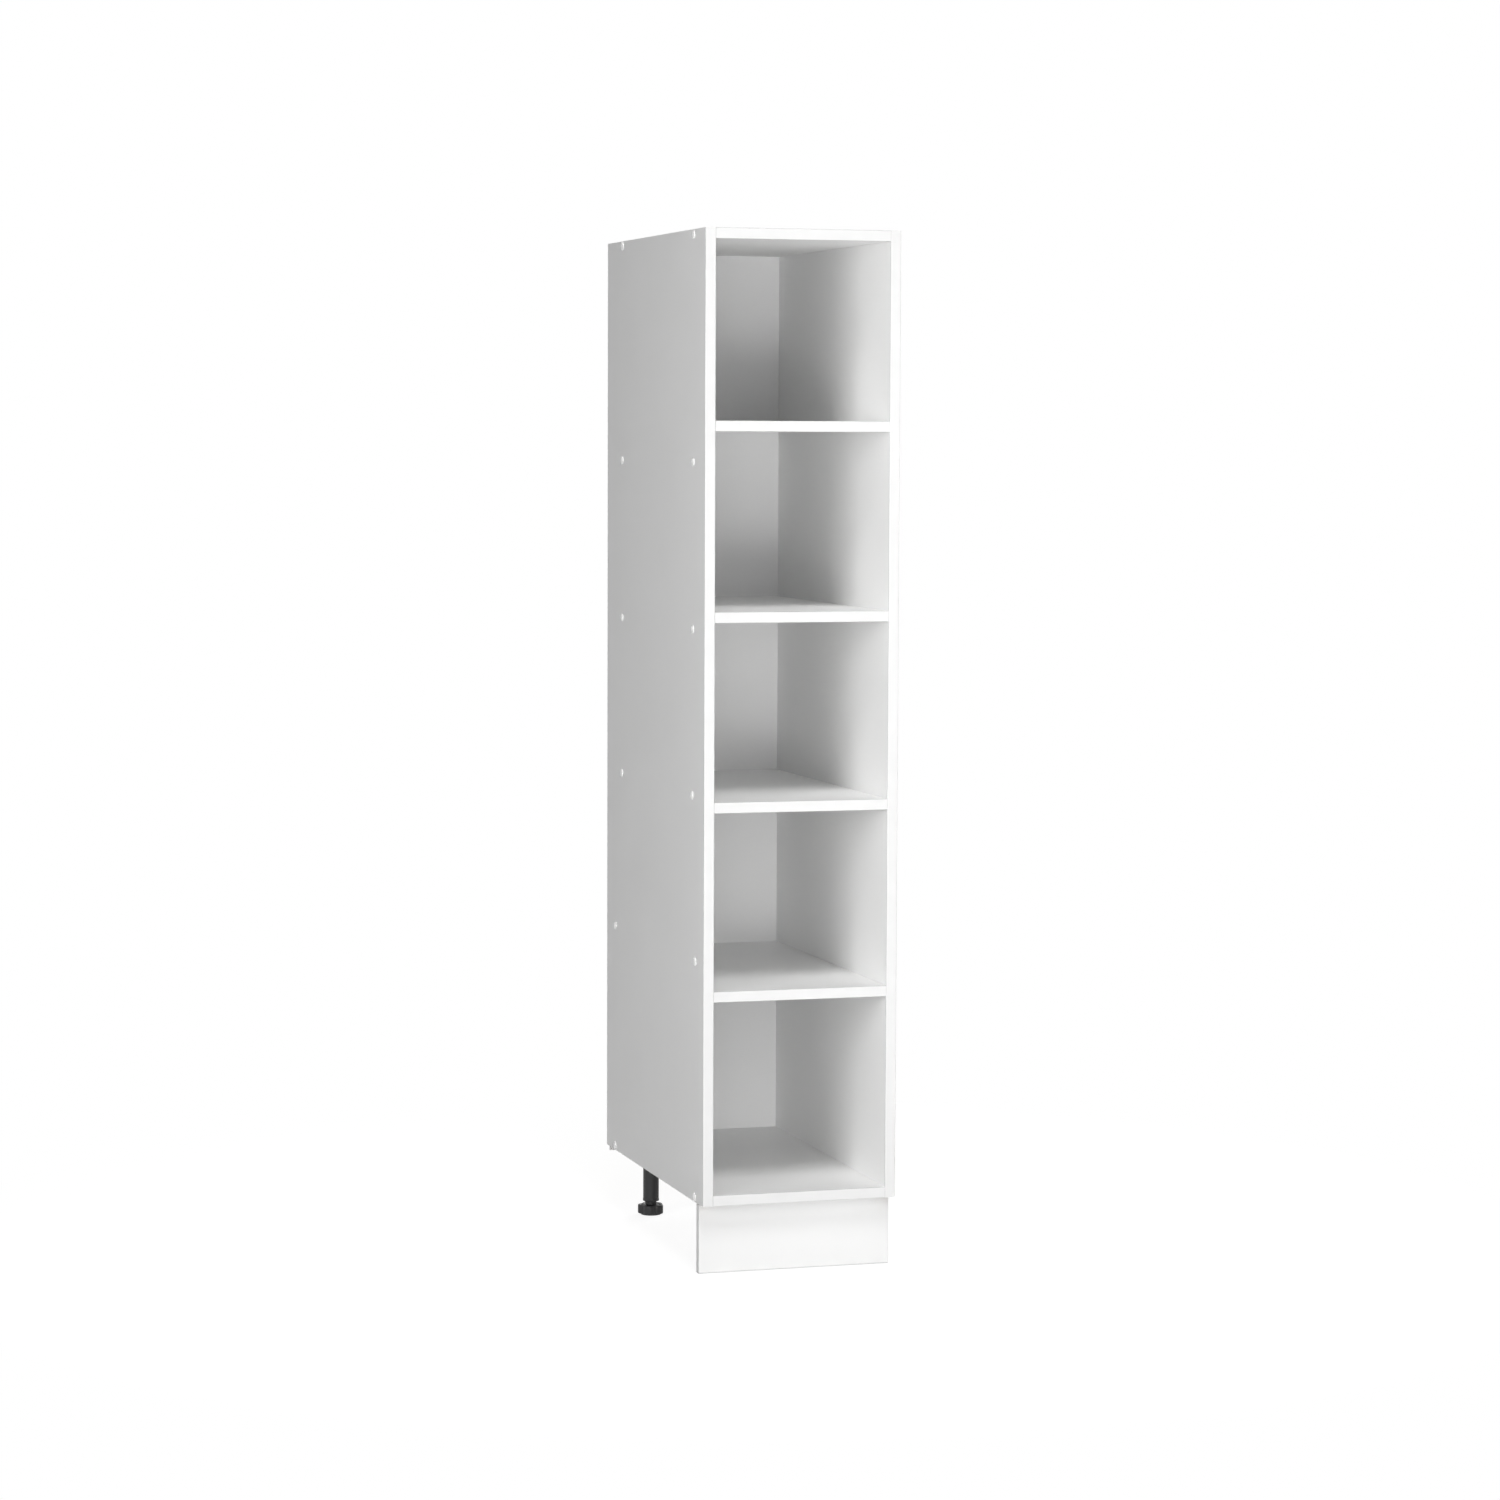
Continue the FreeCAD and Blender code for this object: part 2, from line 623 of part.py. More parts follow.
def side_panel(hand):
    """Full-height side, drilled for everything that goes into it."""
    label = f"side_panel_{hand.name}"
    x = f"({hand.middle} - size.board / 2)"
    blank = block(f"{label}_blank", "size.board", BLANK_DEPTH, "size.side_height", x, BLANK_FRONT, BASE)
    screws = screw_places(hand.outer, TOP_MIDDLE) + screw_places(hand.outer, BOTTOM_MIDDLE)
    dowels = (panel_dowel_places(hand.inner, TOP_MIDDLE) + panel_dowel_places(hand.inner, BOTTOM_MIDDLE)
              + shelf_dowel_places(hand.inner, SHELVES))
    ways = [
        repeat(f"{label}_screw_ways", SCREW_WAY, screws, hand.turn),
        repeat(f"{label}_plug_ways", PLUG_WAY, plug_places(hand.outer), hand.turn),
        repeat(f"{label}_dowel_ways", DOWEL_WAY, dowels, hand.turn),
        repeat(f"{label}_bolt_ways", BOLT_WAY, bolt_places(hand.inner, SHELVES), hand.turn),
        repeat(f"{label}_nail_ways", NAIL_WAY, side_nail_places(hand.middle), FORWARDS),
    ]
    node(less(label, blank, ways), label)
    edge_strip(f"side_edge_{hand.name}", "size.board", "size.side_height", x, BASE, 2)


def end_panel(label, under, level, extra_ways=()):
    """Top or bottom panel between the sides."""
    blank = block(f"{label}_blank", INNER_WIDTH, BLANK_DEPTH, "size.board", INNER_LEFT, BLANK_FRONT, under)
    ways = list(extra_ways)
    for hand in HANDS:
        ways.append(repeat(f"{label}_screw_ways_{hand.name}", SCREW_WAY,
                           screw_places(hand.outer, level), hand.turn))
        ways.append(repeat(f"{label}_dowel_ways_{hand.name}", DOWEL_WAY,
                           panel_dowel_places(hand.inner, level), hand.turn))
    ways.append(repeat(f"{label}_nail_ways", NAIL_WAY, board_nail_places([level]), FORWARDS))
    node(less(label, blank, ways), label)
    edge_strip(label.replace("panel", "edge"), INNER_WIDTH, "size.board", INNER_LEFT, under, 0)


def shelf(number):
    """Fixed shelf, held at each end by two cams and a dowel."""
    label = f"shelf_{number}"
    under = shelf_under(number)
    blank = block(f"{label}_blank", INNER_WIDTH, BLANK_DEPTH, "size.board", INNER_LEFT, BLANK_FRONT, under)
    ways = [repeat(f"{label}_nail_ways", NAIL_WAY, board_nail_places([shelf_middle(number)]), FORWARDS)]
    for hand in HANDS:
        ways.append(repeat(f"{label}_bolt_ways_{hand.name}", BOLT_WAY,
                           bolt_places(hand.inner, [number]), hand.turn))
        ways.append(repeat(f"{label}_cam_ways_{hand.name}", CAM_WAY, cam_places(hand.cam, [number])))
        ways.append(repeat(f"{label}_dowel_ways_{hand.name}", DOWEL_WAY,
                           shelf_dowel_places(hand.inner, [number]), hand.turn))
    node(less(label, blank, ways), label)
    edge_strip(f"shelf_edge_{number}", INNER_WIDTH, "size.board", INNER_LEFT, under, 0)


def all_nail_places():
    """Every nail of the back panel."""
    places = board_nail_places(BOARD_LEVELS)
    for hand in HANDS:
        places += side_nail_places(hand.middle)
    return places


def back_panel():
    """Thin back on the rear edges of the carcass, nailed all round and to each shelf."""
    sheet = block("back_blank", "size.unit_width - 2 * size.back_inset", "size.back_thickness",
                  "size.side_height - size.back_inset + size.back_drop",
                  f"{LEFT} + size.back_inset", REAR, f"{BASE} - size.back_drop")
    places = all_nail_places()
    node(less("back_panel", sheet, [repeat("back_nail_ways", NAIL_WAY, places, FORWARDS)]), "back_panel")
    node(repeat("back_panel_nails", NAIL, places, FORWARDS), "back_panel_nails")


def carcass_fasteners():
    """Screws, caps, plugs, dowels, cam bolts and cam locks."""
    dowels = []
    shelf_dowels = []
    bolts = []
    cams = []
    for hand in HANDS:
        screws = screw_places(hand.outer, TOP_MIDDLE) + screw_places(hand.outer, BOTTOM_MIDDLE)
        plugs = plug_places(hand.outer)
        node(repeat(f"carcass_screws_{hand.name}", SCREW, screws, hand.turn), f"carcass_screws_{hand.name}")
        node(repeat(f"screw_caps_{hand.name}", COVER_CAP, screws, hand.turn), f"screw_caps_{hand.name}")
        node(repeat(f"joining_plugs_{hand.name}", PLUG, plugs, hand.turn), f"joining_plugs_{hand.name}")
        levels = (TOP_MIDDLE, BOTTOM_MIDDLE)
        ends = [place for level in levels for place in panel_dowel_places(hand.inner, level)]
        dowels.append(repeat(f"panel_dowels_{hand.name}", DOWEL, ends, hand.turn))
        shelf_dowels.append(repeat(f"shelf_dowels_{hand.name}", DOWEL,
                                   shelf_dowel_places(hand.inner, SHELVES), hand.turn))
        bolts.append(repeat(f"cam_bolts_{hand.name}", BOLT, bolt_places(hand.inner, SHELVES), hand.turn))
        cam = cam_lock(hand.turn.inverted(), f"cam_{hand.name}")
        cams.append(repeat(f"cam_locks_{hand.name}", cam, cam_places(hand.cam, SHELVES)))
    node(group("panel_dowel_group", dowels), "panel_dowels")
    node(group("shelf_dowel_group", shelf_dowels), "shelf_dowels")
    node(group("cam_bolt_group", bolts), "cam_bolts")
    node(group("cam_lock_group", cams), "cam_locks")


# Legs

STEM_DIAMETER = "(size.column_bore - 2 * size.stem_play)"
FOOT_TOP = "(size.pad_thickness + size.foot_height)"
LOBE_CENTRE = "((size.foot_diameter - size.lobe_diameter) / 2)"


def leg_plate(name, x, y, screw_ways):
    """Square mounting plate with rounded corners and a spigot for the column."""
    body = new_body(f"leg_plate_{name}_body")
    outline = sketch_on_base(body, f"leg_plate_{name}_outline")
    draw_rectangle(outline, "size.plate_width", "-size.plate_width / 2", "size.plate_width / 2")
    pad(body, outline, "size.plate_thickness")
    spigot = sketch_on_base(body, f"leg_plate_{name}_spigot")
    draw_circle(spigot, "size.column_bore - 2 * size.spigot_play")
    pad(body, spigot, "size.spigot_length", downwards=True)
    put(body, x, y, PLATE_UNDER)
    height = value("size.plate_thickness")

    def is_corner(edge):
        upright = isinstance(edge.Curve, Part.Line) and abs(edge.Curve.Direction.z) > 1 - TOLERANCE
        return upright and abs(edge.Length - height) < TOLERANCE

    plate = rounded(f"leg_plate_{name}_rounded", body, "size.plate_round", is_corner)
    node(less(f"leg_plate_{name}", plate, [screw_ways]), f"leg_plate_{name}")


def leg_column(name, x, y):
    """Tube between the mounting plate and the foot."""
    body = new_body(f"leg_column_{name}")
    outline = sketch_on_base(body, f"leg_column_{name}_outline")
    draw_circle(outline, "size.column_diameter")
    height = f"{PLATE_UNDER} - size.column_lift"
    pad(body, outline, height)
    bore = sketch_on_base(body, f"leg_column_{name}_bore")
    draw_circle(bore, "size.column_bore")
    pocket(body, bore, height)
    put(body, x, y, "size.column_lift")
    node(body, f"leg_column_{name}")


def foot_knob(name, x, y):
    """Lobed knob with a socket for the stem above and one for the pad's pin below."""
    disc = rod(f"foot_{name}_disc", "size.core_diameter", "size.foot_height")
    core = rounded(f"foot_{name}_core", disc, "size.lobe_round", is_circle)
    lobe_disc = rod(f"foot_{name}_lobe_disc", "size.lobe_diameter", "size.foot_height")
    lobe = rounded(f"foot_{name}_lobe", lobe_disc, "size.lobe_round", is_circle)
    lobe.recompute()
    lobes = []
    count = int(value("size.foot_lobes"))
    for number in range(count):
        angle = math.radians(value("size.lobe_turn") - 90) + 2 * math.pi * number / count
        copy = lobe.Shape.copy()
        copy.translate(Vector(math.cos(angle), math.sin(angle), 0) * value(LOBE_CENTRE))
        item = doc.addObject("Part::Feature", f"foot_{name}_lobe_{number}")
        item.Shape = copy
        lobes.append(item)
    blank = fused(f"foot_{name}_blank", [core] + lobes)
    pin_socket = rod(f"foot_{name}_pin_socket", "size.pin_diameter + 2 * size.pin_play",
                     "size.pin_length + size.pin_play")
    root_socket = rod(f"foot_{name}_root_socket", "size.root_diameter + 2 * size.fit", "size.root_length",
                      z="size.foot_height - size.root_length")
    knob = less(f"foot_knob_{name}", blank, [pin_socket, root_socket])
    put(knob, x, y, "size.pad_thickness")
    node(knob, f"foot_knob_{name}")


def foot_stem(name, x, y):
    """Stem that screws into the column, with its root in the knob."""
    shaft = rod(f"foot_{name}_shaft", STEM_DIAMETER, "size.stem_length")
    root = rod(f"foot_{name}_root", "size.root_diameter", "size.root_length", z="-size.root_length")
    stem = fused(f"foot_stem_{name}", [shaft, root])
    put(stem, x, y, FOOT_TOP)
    node(stem, f"foot_stem_{name}")


def foot_pad(name, x, y):
    """Pad on the floor, held in the knob by a short pin."""
    disc = rod(f"foot_{name}_pad_disc", "size.pad_diameter", "size.pad_thickness")
    sole = rounded(f"foot_{name}_sole", disc, "size.pad_round",
                   lambda edge: is_circle(edge) and edge.Curve.Center.z < TOLERANCE)
    pin = rod(f"foot_{name}_pin", "size.pin_diameter", "size.pin_length", z="size.pad_thickness")
    item = fused(f"foot_pad_{name}", [sole, pin])
    put(item, x, y, "0")
    node(item, f"foot_pad_{name}")


# Plinth

def plinth_clip(hand):
    """Clip with a plate behind the plinth and a half-round jaw over a front leg's column."""
    body = new_body(f"plinth_clip_{hand.name}_body")
    reach = f"({LEG_LINE['front']} - {PLINTH_REAR})"
    plate = sketch_on_base(body, f"plinth_clip_{hand.name}_plate")
    draw_rectangle(plate, "size.clip_width", f"-{reach}", f"size.clip_plate - {reach}")
    pad(body, plate, "size.clip_height")
    arm = sketch_on_base(body, f"plinth_clip_{hand.name}_arm")
    jaw = "(size.column_diameter + 2 * size.clip_play)"
    draw_rectangle(arm, f"{jaw} + 2 * size.clip_wall", f"-{reach}", "0")
    pad(body, arm, "size.clip_height")
    gap = sketch_on_base(body, f"plinth_clip_{hand.name}_gap")
    draw_circle(gap, jaw)
    pocket(body, gap, "size.clip_height")
    put(body, hand.leg, LEG_LINE["front"], "size.clip_level - size.clip_height / 2")
    ways = repeat(f"plinth_clip_{hand.name}_ways", WOOD_SCREW_WAY, clip_screw_places([hand]), FORWARDS)
    node(less(f"plinth_clip_{hand.name}", body, [ways]), f"plinth_clip_{hand.name}")


def plinth():
    """Set-back board under the carcass, held to the front legs by two clips."""
    blank = block("plinth_blank", "size.unit_width - 2 * size.plinth_inset", "size.plinth_thickness",
                  "size.leg_height - size.plinth_floor_gap - size.plinth_top_gap",
                  f"{LEFT} + size.plinth_inset", f"{FRONT} + size.plinth_setback", "size.plinth_floor_gap")
    face = value(f"{FRONT} + size.plinth_setback")

    def is_front(edge):
        return all(abs(point.Point.y - face) < TOLERANCE for point in edge.Vertexes)

    places = clip_screw_places(HANDS)
    ways = repeat("plinth_screw_ways", WOOD_SCREW_WAY, places, FORWARDS)
    board = rounded("plinth_rounded", blank, "size.plinth_round", is_front)
    node(less("plinth_board", board, [ways]), "plinth_board")
    for hand in HANDS:
        plinth_clip(hand)
    node(repeat("plinth_clip_screws", WOOD_SCREW, places, FORWARDS), "plinth_clip_screws")


# The unit

leg_screw_ways = repeat("leg_screw_ways", WOOD_SCREW_WAY, plate_screw_places())
for side in HANDS:
    side_panel(side)
end_panel("top_panel", f"({TOP} - size.board)", TOP_MIDDLE)
end_panel("bottom_panel", BASE, BOTTOM_MIDDLE, [leg_screw_ways])
for shelf_number in SHELVES:
    shelf(shelf_number)
back_panel()
carcass_fasteners()
for leg_name, leg_x, leg_y in LEGS:
    leg_plate(leg_name, leg_x, leg_y, leg_screw_ways)
    leg_column(leg_name, leg_x, leg_y)
    foot_knob(leg_name, leg_x, leg_y)
    foot_stem(leg_name, leg_x, leg_y)
    foot_pad(leg_name, leg_x, leg_y)
node(repeat("leg_plate_screws", WOOD_SCREW, plate_screw_places()), "leg_plate_screws")
plinth()
doc.recompute()

# Every object has to be sound before anything is written

for item in doc.Objects:
    if "Invalid" in item.State or "Error" in item.State:
        raise RuntimeError(f"{item.Label} failed: {item.State}")
for item in nodes:
    if item.Shape.isNull() or not item.Shape.isValid() or not item.Shape.Solids:
        raise RuntimeError(f"{item.Label} has no sound solid")

os.makedirs("parts", exist_ok=True)
for item in nodes:
    item.Shape.exportStep(f"parts/{item.Label}.step")
print(len(nodes), "pieces written")
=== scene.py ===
import math

import bmesh
import bpy
from bpy.props import FloatProperty, FloatVectorProperty, IntProperty, PointerProperty
from mathutils import Matrix, Vector


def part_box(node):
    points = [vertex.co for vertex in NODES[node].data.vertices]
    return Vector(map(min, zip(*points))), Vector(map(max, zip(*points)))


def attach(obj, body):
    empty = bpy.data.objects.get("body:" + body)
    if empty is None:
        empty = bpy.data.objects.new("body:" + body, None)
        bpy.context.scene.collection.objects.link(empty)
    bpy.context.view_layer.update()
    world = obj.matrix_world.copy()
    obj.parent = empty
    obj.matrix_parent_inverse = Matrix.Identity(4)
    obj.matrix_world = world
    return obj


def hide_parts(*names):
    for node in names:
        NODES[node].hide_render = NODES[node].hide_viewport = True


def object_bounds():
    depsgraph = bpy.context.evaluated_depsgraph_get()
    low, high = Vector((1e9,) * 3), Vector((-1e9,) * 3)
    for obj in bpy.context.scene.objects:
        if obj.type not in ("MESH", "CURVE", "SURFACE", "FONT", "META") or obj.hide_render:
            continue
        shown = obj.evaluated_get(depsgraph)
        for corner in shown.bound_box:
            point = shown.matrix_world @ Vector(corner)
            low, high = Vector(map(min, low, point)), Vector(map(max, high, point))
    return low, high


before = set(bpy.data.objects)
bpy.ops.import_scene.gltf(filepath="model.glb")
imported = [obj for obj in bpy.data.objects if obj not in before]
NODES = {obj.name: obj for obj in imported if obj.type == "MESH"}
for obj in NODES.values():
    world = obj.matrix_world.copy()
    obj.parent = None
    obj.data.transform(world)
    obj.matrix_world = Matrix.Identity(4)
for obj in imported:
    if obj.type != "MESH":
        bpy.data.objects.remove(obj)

bl_info = {
    "name": "Kitchen shelf unit",
    "version": (1, 0, 0),
    "blender": (4, 5, 0),
    "location": "3D View > Sidebar > Shelf unit",
    "description": "Finishes, caps, legs, lamps and camera for an open kitchen shelf unit",
    "category": "Object",
}

CAD_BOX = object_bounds()
HANDS = {"left": -1, "right": 1}
LEGS = ("front_left", "front_right", "rear_left", "rear_right")
SHELVES = (1, 2, 3, 4)
NOISE_LOW, NOISE_HIGH = 0.3, 0.7  # where the values of soft noise mostly lie
TURNED = 0.7  # a face looks along an axis where its normal reaches this far along it
CREASE = math.radians(32)  # sharper edges stay sharp in the shading
CENTRE = (0.0, 0.0, 0.8)  # what the lamps face
WHITE = (1.0, 1.0, 1.0)


def span(node, axis):
    """Size of a CAD node along one axis."""
    low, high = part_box(node)
    return high[axis] - low[axis]


def middle(node):
    """Centre of a CAD node's box."""
    low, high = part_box(node)
    return (low + high) / 2


# Sizes and colours that a user would change

def length(name, description, default):
    """A size in metres."""
    return FloatProperty(name=name, description=description, default=default, min=0.0, precision=5,
                         unit="LENGTH")


def angle(name, description, degrees):
    """An angle, given in degrees and kept in radians."""
    return FloatProperty(name=name, description=description, default=math.radians(degrees),
                         subtype="ANGLE", unit="ROTATION")


def share(name, description, default):
    """A number from 0 to 1."""
    return FloatProperty(name=name, description=description, default=default, min=0.0, max=1.0,
                         subtype="FACTOR")


def power(name, description, default):
    """The power of a lamp."""
    return FloatProperty(name=name, description=description, default=default, min=0.0, unit="POWER")


def colour(name, description, default):
    """A linear colour."""
    return FloatVectorProperty(name=name, description=description, default=default, size=3,
                               min=0.0, max=1.0, subtype="COLOR")


def place(name, description, default):
    """A point in the row frame."""
    return FloatVectorProperty(name=name, description=description, default=default, size=3,
                               subtype="TRANSLATION", unit="LENGTH")


class BoardSettings(bpy.types.PropertyGroup):
    face: colour("Face", "Melamine face of the boards", (0.915, 0.915, 0.911))
    core_light: colour("Light chips", "Pale chips of the particle board core", (0.50, 0.36, 0.22))
    core_dark: colour("Dark chips", "Dark chips of the particle board core", (0.24, 0.15, 0.08))
    roughness: share("Roughness", "Mean roughness of the melamine", 0.56)
    pearl: length("Pearl texture", "Size of the fine pearl texture pressed into the melamine", 0.0011)
    pearl_depth: length("Pearl depth", "Depth of the fine pearl texture", 0.00003)


class EdgeSettings(bpy.types.PropertyGroup):
    face: colour("Strip", "Edge strip on the front of every board", (0.82, 0.82, 0.817))
    roughness: share("Roughness", "Mean roughness of the strip", 0.33)
    wave: length("Waviness", "Length of the soft waves left by the edge trimmer", 0.035)


class BackSettings(bpy.types.PropertyGroup):
    paint: colour("Paint", "Painted front of the back panel", (0.825, 0.825, 0.825))
    fibre_light: colour("Light fibres", "Pale fibres on the bare rear", (0.36, 0.25, 0.155))
    fibre_dark: colour("Dark fibres", "Dark fibres on the bare rear", (0.20, 0.125, 0.07))


class PlinthSettings(bpy.types.PropertyGroup):
    face: colour("Face", "Face of the plinth board", (0.90, 0.90, 0.896))
    roughness: share("Roughness", "Mean roughness of the plinth", 0.36)


class CapSettings(bpy.types.PropertyGroup):
    crown: length("Crown", "Diameter of a cap's crown", 0.0125)
    height: length("Height", "Height of a cap over the board",
                   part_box("side_panel_left")[0].x - CAD_BOX[0].x)
    rim: length("Rim", "Height of the straight rim under a cap's dome", 0.0015)
    cover_stem: length("Cover stem", "Diameter of a cover cap's stem", 0.0034)
    cover_reach: length("Cover reach", "Length of a cover cap's stem", 0.0025)
    plug_stem: length("Plug stem", "Diameter of a plug's stem", 0.008)
    plug_reach: length("Plug reach", "Length of a plug's stem", 0.009)
    upper_front: length("Upper front row", "From the front to the caps in the upper front rows", 0.061)
    upper_rear: length("Upper rear row", "From the rear to the caps in the upper rear rows", 0.092)
    lower_front: length("Lower front row", "From the front to the caps in the lower front rows", 0.043)
    lower_rear: length("Lower rear row", "From the rear to the caps in the lower rear rows", 0.054)
    low_plug: length("Lowest plug", "From the carcass's underside to the lowest plugs", 0.361)
    high_plug: length("Highest plug", "From the carcass's top to the highest plugs", 0.341)
    face: colour("Plastic", "White plastic of caps and plugs", (0.95, 0.95, 0.945))


class LegSettings(bpy.types.PropertyGroup):
    column: length("Column", "Diameter of a leg's column", span("leg_column_front_left", 0))
    bore: length("Bore", "Bore of a leg's column", 0.0202)
    bead: length("Bead", "Height of the beads at the column's ends", 0.0036)
    draft: length("Draft", "How far the column lies back between its beads", 0.0004)
    lobes: IntProperty(name="Lobes", description="Number of lobes of a foot", default=5, min=3, max=12)
    lobe: length("Lobe", "Diameter of one lobe", 0.0204)
    core: length("Core", "Diameter of the plain core inside a foot's lobes", 0.030)
    over_lobes: length("Over lobes", "Diameter of a foot over its lobes", 0.042)
    turn: angle("Turn", "Angle of the first lobe from the front", 44)
    rim: length("Rim", "Radius along the foot's rims", 0.0018)
    pitch: length("Pitch", "Rise of the thread in one turn", 0.004)
    thread: length("Thread", "Depth of the thread", 0.0011)
    root: length("Root", "Diameter of the stem's root inside the foot", 0.012)
    pin: length("Pin", "Diameter of the pin that holds a pad in its foot", 0.008)
    plastic: colour("Plastic", "Black plastic of the legs and clips", (0.018, 0.018, 0.019))
    rubber: colour("Rubber", "Rubber under the feet", (0.09, 0.09, 0.09))


class FastenerSettings(bpy.types.PropertyGroup):
    zinc: colour("Zinc plate", "Zinc-plated steel of screws, bolts and nails", (0.62, 0.62, 0.63))
    cast: colour("Cast zinc", "Die-cast zinc of the cam locks", (0.60, 0.60, 0.60))
    beech_light: colour("Light beech", "Pale grain of the dowels", (0.68, 0.49, 0.31))
    beech_dark: colour("Dark beech", "Dark grain and flecks of the dowels", (0.48, 0.30, 0.17))


class StageSettings(bpy.types.PropertyGroup):
    eye: place("Eye", "Where the camera stands", (-1.79615, -5.98365, 1.24342))
    yaw: angle("Yaw", "Turn of the camera to the right of straight ahead", 16.75)
    pitch: angle("Pitch", "Tilt of the camera upwards", -4.42)
    roll: angle("Roll", "Turn of the camera about its own axis", 0.22)
    lens: FloatProperty(name="Lens", description="Focal length on a sensor 36 mm wide", default=97.44,
                        min=1.0, unit="CAMERA")
    sky: share("Sky", "Even light from all round", 0.015)
    low_lamp: power("Low lamp", "Soft lamp low in front that reaches into the openings", 29.3)
    front_lamp: power("Front lamp", "Tall soft lamp straight in front", 17.0)
    left_lamp: power("Left lamp", "Soft lamp to the front left", 39.6)
    high_lamp: power("High lamp", "Soft lamp high in front", 75.0)
    strip_lamp: power("Strip lamp", "Narrow upright strip that shines across the openings", 0.33)
    beam: angle("Beam", "Angle of the strip lamp's beam", 40)
    rear_lamp: power("Rear lamp", "Broad lamp to the right rear, for the sides turned away", 95.0)
    floor: colour("Floor", "Pale floor", (0.70, 0.70, 0.70))
    shadow: share("Shadow", "How strongly the floor shows the unit's shadow", 0.35)
    lit: share("Lit floor", "Brightness of the floor where no shadow falls", 0.31)


# Finishes

class Signal:
    """A value, colour or vector in one node tree, with the arithmetic that its nodes do."""

    def __init__(self, tree, socket=None):
        self.tree = tree
        self.socket = socket

    def node(self, kind, settings=None, inputs=None, output=0):
        """Adds a node: its settings first, then the values or links of its sockets."""
        made = self.tree.nodes.new(kind)
        for name, value in (settings or {}).items():
            setattr(made, name, value)
        for name, value in (inputs or {}).items():
            socket = made.inputs[name]
            if isinstance(value, Signal):
                self.tree.links.new(value.socket, socket)
            elif isinstance(value, tuple) and socket.type == "RGBA":
                socket.default_value = (*value, 1.0)
            else:
                socket.default_value = value
        return Signal(self.tree, made.outputs[output] if made.outputs else None)

    def maths(self, operation, first, second=0.0):
        return self.node("ShaderNodeMath", {"operation": operation}, {0: first, 1: second})

    def __add__(self, other):
        return self.maths("ADD", self, other)

    def __sub__(self, other):
        return self.maths("SUBTRACT", self, other)

    def __rsub__(self, other):
        return self.maths("SUBTRACT", other, self)

    def __mul__(self, other):
        return self.maths("MULTIPLY", self, other)

    def __gt__(self, other):
        return self.maths("GREATER_THAN", self, other)

    def __lt__(self, other):
        return self.maths("LESS_THAN", self, other)

    def __or__(self, other):
        return self.maths("MAXIMUM", self, other)

    def __abs__(self):
        return self.maths("ABSOLUTE", self)

    __radd__ = __add__
    __rmul__ = __mul__
    __ror__ = __or__

    def spread(self, low, high, start=0.0, end=1.0):
        """Maps low to start and high to end, and stops there."""
        return self.node("ShaderNodeMapRange", {"clamp": True},
                         {"Value": self, "From Min": low, "From Max": high,
                          "To Min": start, "To Max": end})

    def filled(self, start=0.0, end=1.0):
        """Stretches soft noise over the whole way from start to end."""
        return self.spread(NOISE_LOW, NOISE_HIGH, start, end)

    def between(self, first, second):
        """Blends two colours: this value 0 gives the first and 1 the second."""
        return self.node("ShaderNodeMix", {"data_type": "RGBA", "clamp_factor": True},
                         {"Factor": self, 6: first, 7: second}, output=2)

    def axis(self, number):
        """One part of a vector."""
        return self.node("ShaderNodeSeparateXYZ", None, {0: self}, output=number)


class Finish(Signal):
    """A material whose surface is one principled shader."""

    def __init__(self, name):
        self.material = bpy.data.materials.new(name)
        self.material.use_nodes = True
        self.material.node_tree.nodes.clear()
        super().__init__(self.material.node_tree)
        self.spot = self.node("ShaderNodeTexCoord", output="Object")
        self.facing = self.node("ShaderNodeTexCoord", output="Normal")

    def stretched(self, scale):
        """Object coordinates, stretched along the axes."""
        return self.node("ShaderNodeVectorMath", {"operation": "MULTIPLY"}, {0: self.spot, 1: scale})

    def noise(self, size, detail=2.0, roughness=0.5, stretch=None):
        """Soft noise whose features are about this large."""
        vector = self.stretched(stretch) if stretch else self.spot
        return self.node("ShaderNodeTexNoise", None, {"Vector": vector, "Scale": 1.0 / size,
                                                      "Detail": detail, "Roughness": roughness})

    def cells(self, size, output, stretch):
        """Voronoi cells of about this size, stretched along the axes."""
        return self.node("ShaderNodeTexVoronoi", None,
                         {"Vector": self.stretched(stretch), "Scale": 1.0 / size}, output=output)

    def bump(self, height):
        """A normal that follows a height in metres."""
        return self.node("ShaderNodeBump", None, {"Strength": 1.0, "Distance": 1.0, "Height": height})

    def surface(self, **inputs):
        """Ends the material with its shader; words stand for sockets with spaces as underscores."""
        named = {name.replace("_", " "): value for name, value in inputs.items()}
        shader = self.node("ShaderNodeBsdfPrincipled", None, named)
        self.node("ShaderNodeOutputMaterial", None, {"Surface": shader})
        return self.material


def tint(shade, factor):
    """A colour made a little darker or lighter."""
    return tuple(min(1.0, part * factor) for part in shade)


def melamine(finish, face, roughness, pearl, pearl_depth):
    """Colour, roughness and height of white melamine with a fine pearl texture."""
    cloud = finish.noise(0.22, detail=3.0)
    fleck = finish.noise(0.0016, detail=1.0)
    shade = (cloud * 0.7 + fleck * 0.3).filled()
    paint = shade.between(tint(face, 0.982), tint(face, 1.012))
    handling = finish.noise(0.09, detail=4.0, roughness=0.6)
    gloss = handling.filled(roughness - 0.03, roughness + 0.03)
    texture = finish.noise(pearl, detail=2.0, roughness=0.6)
    return paint, gloss, texture * pearl_depth


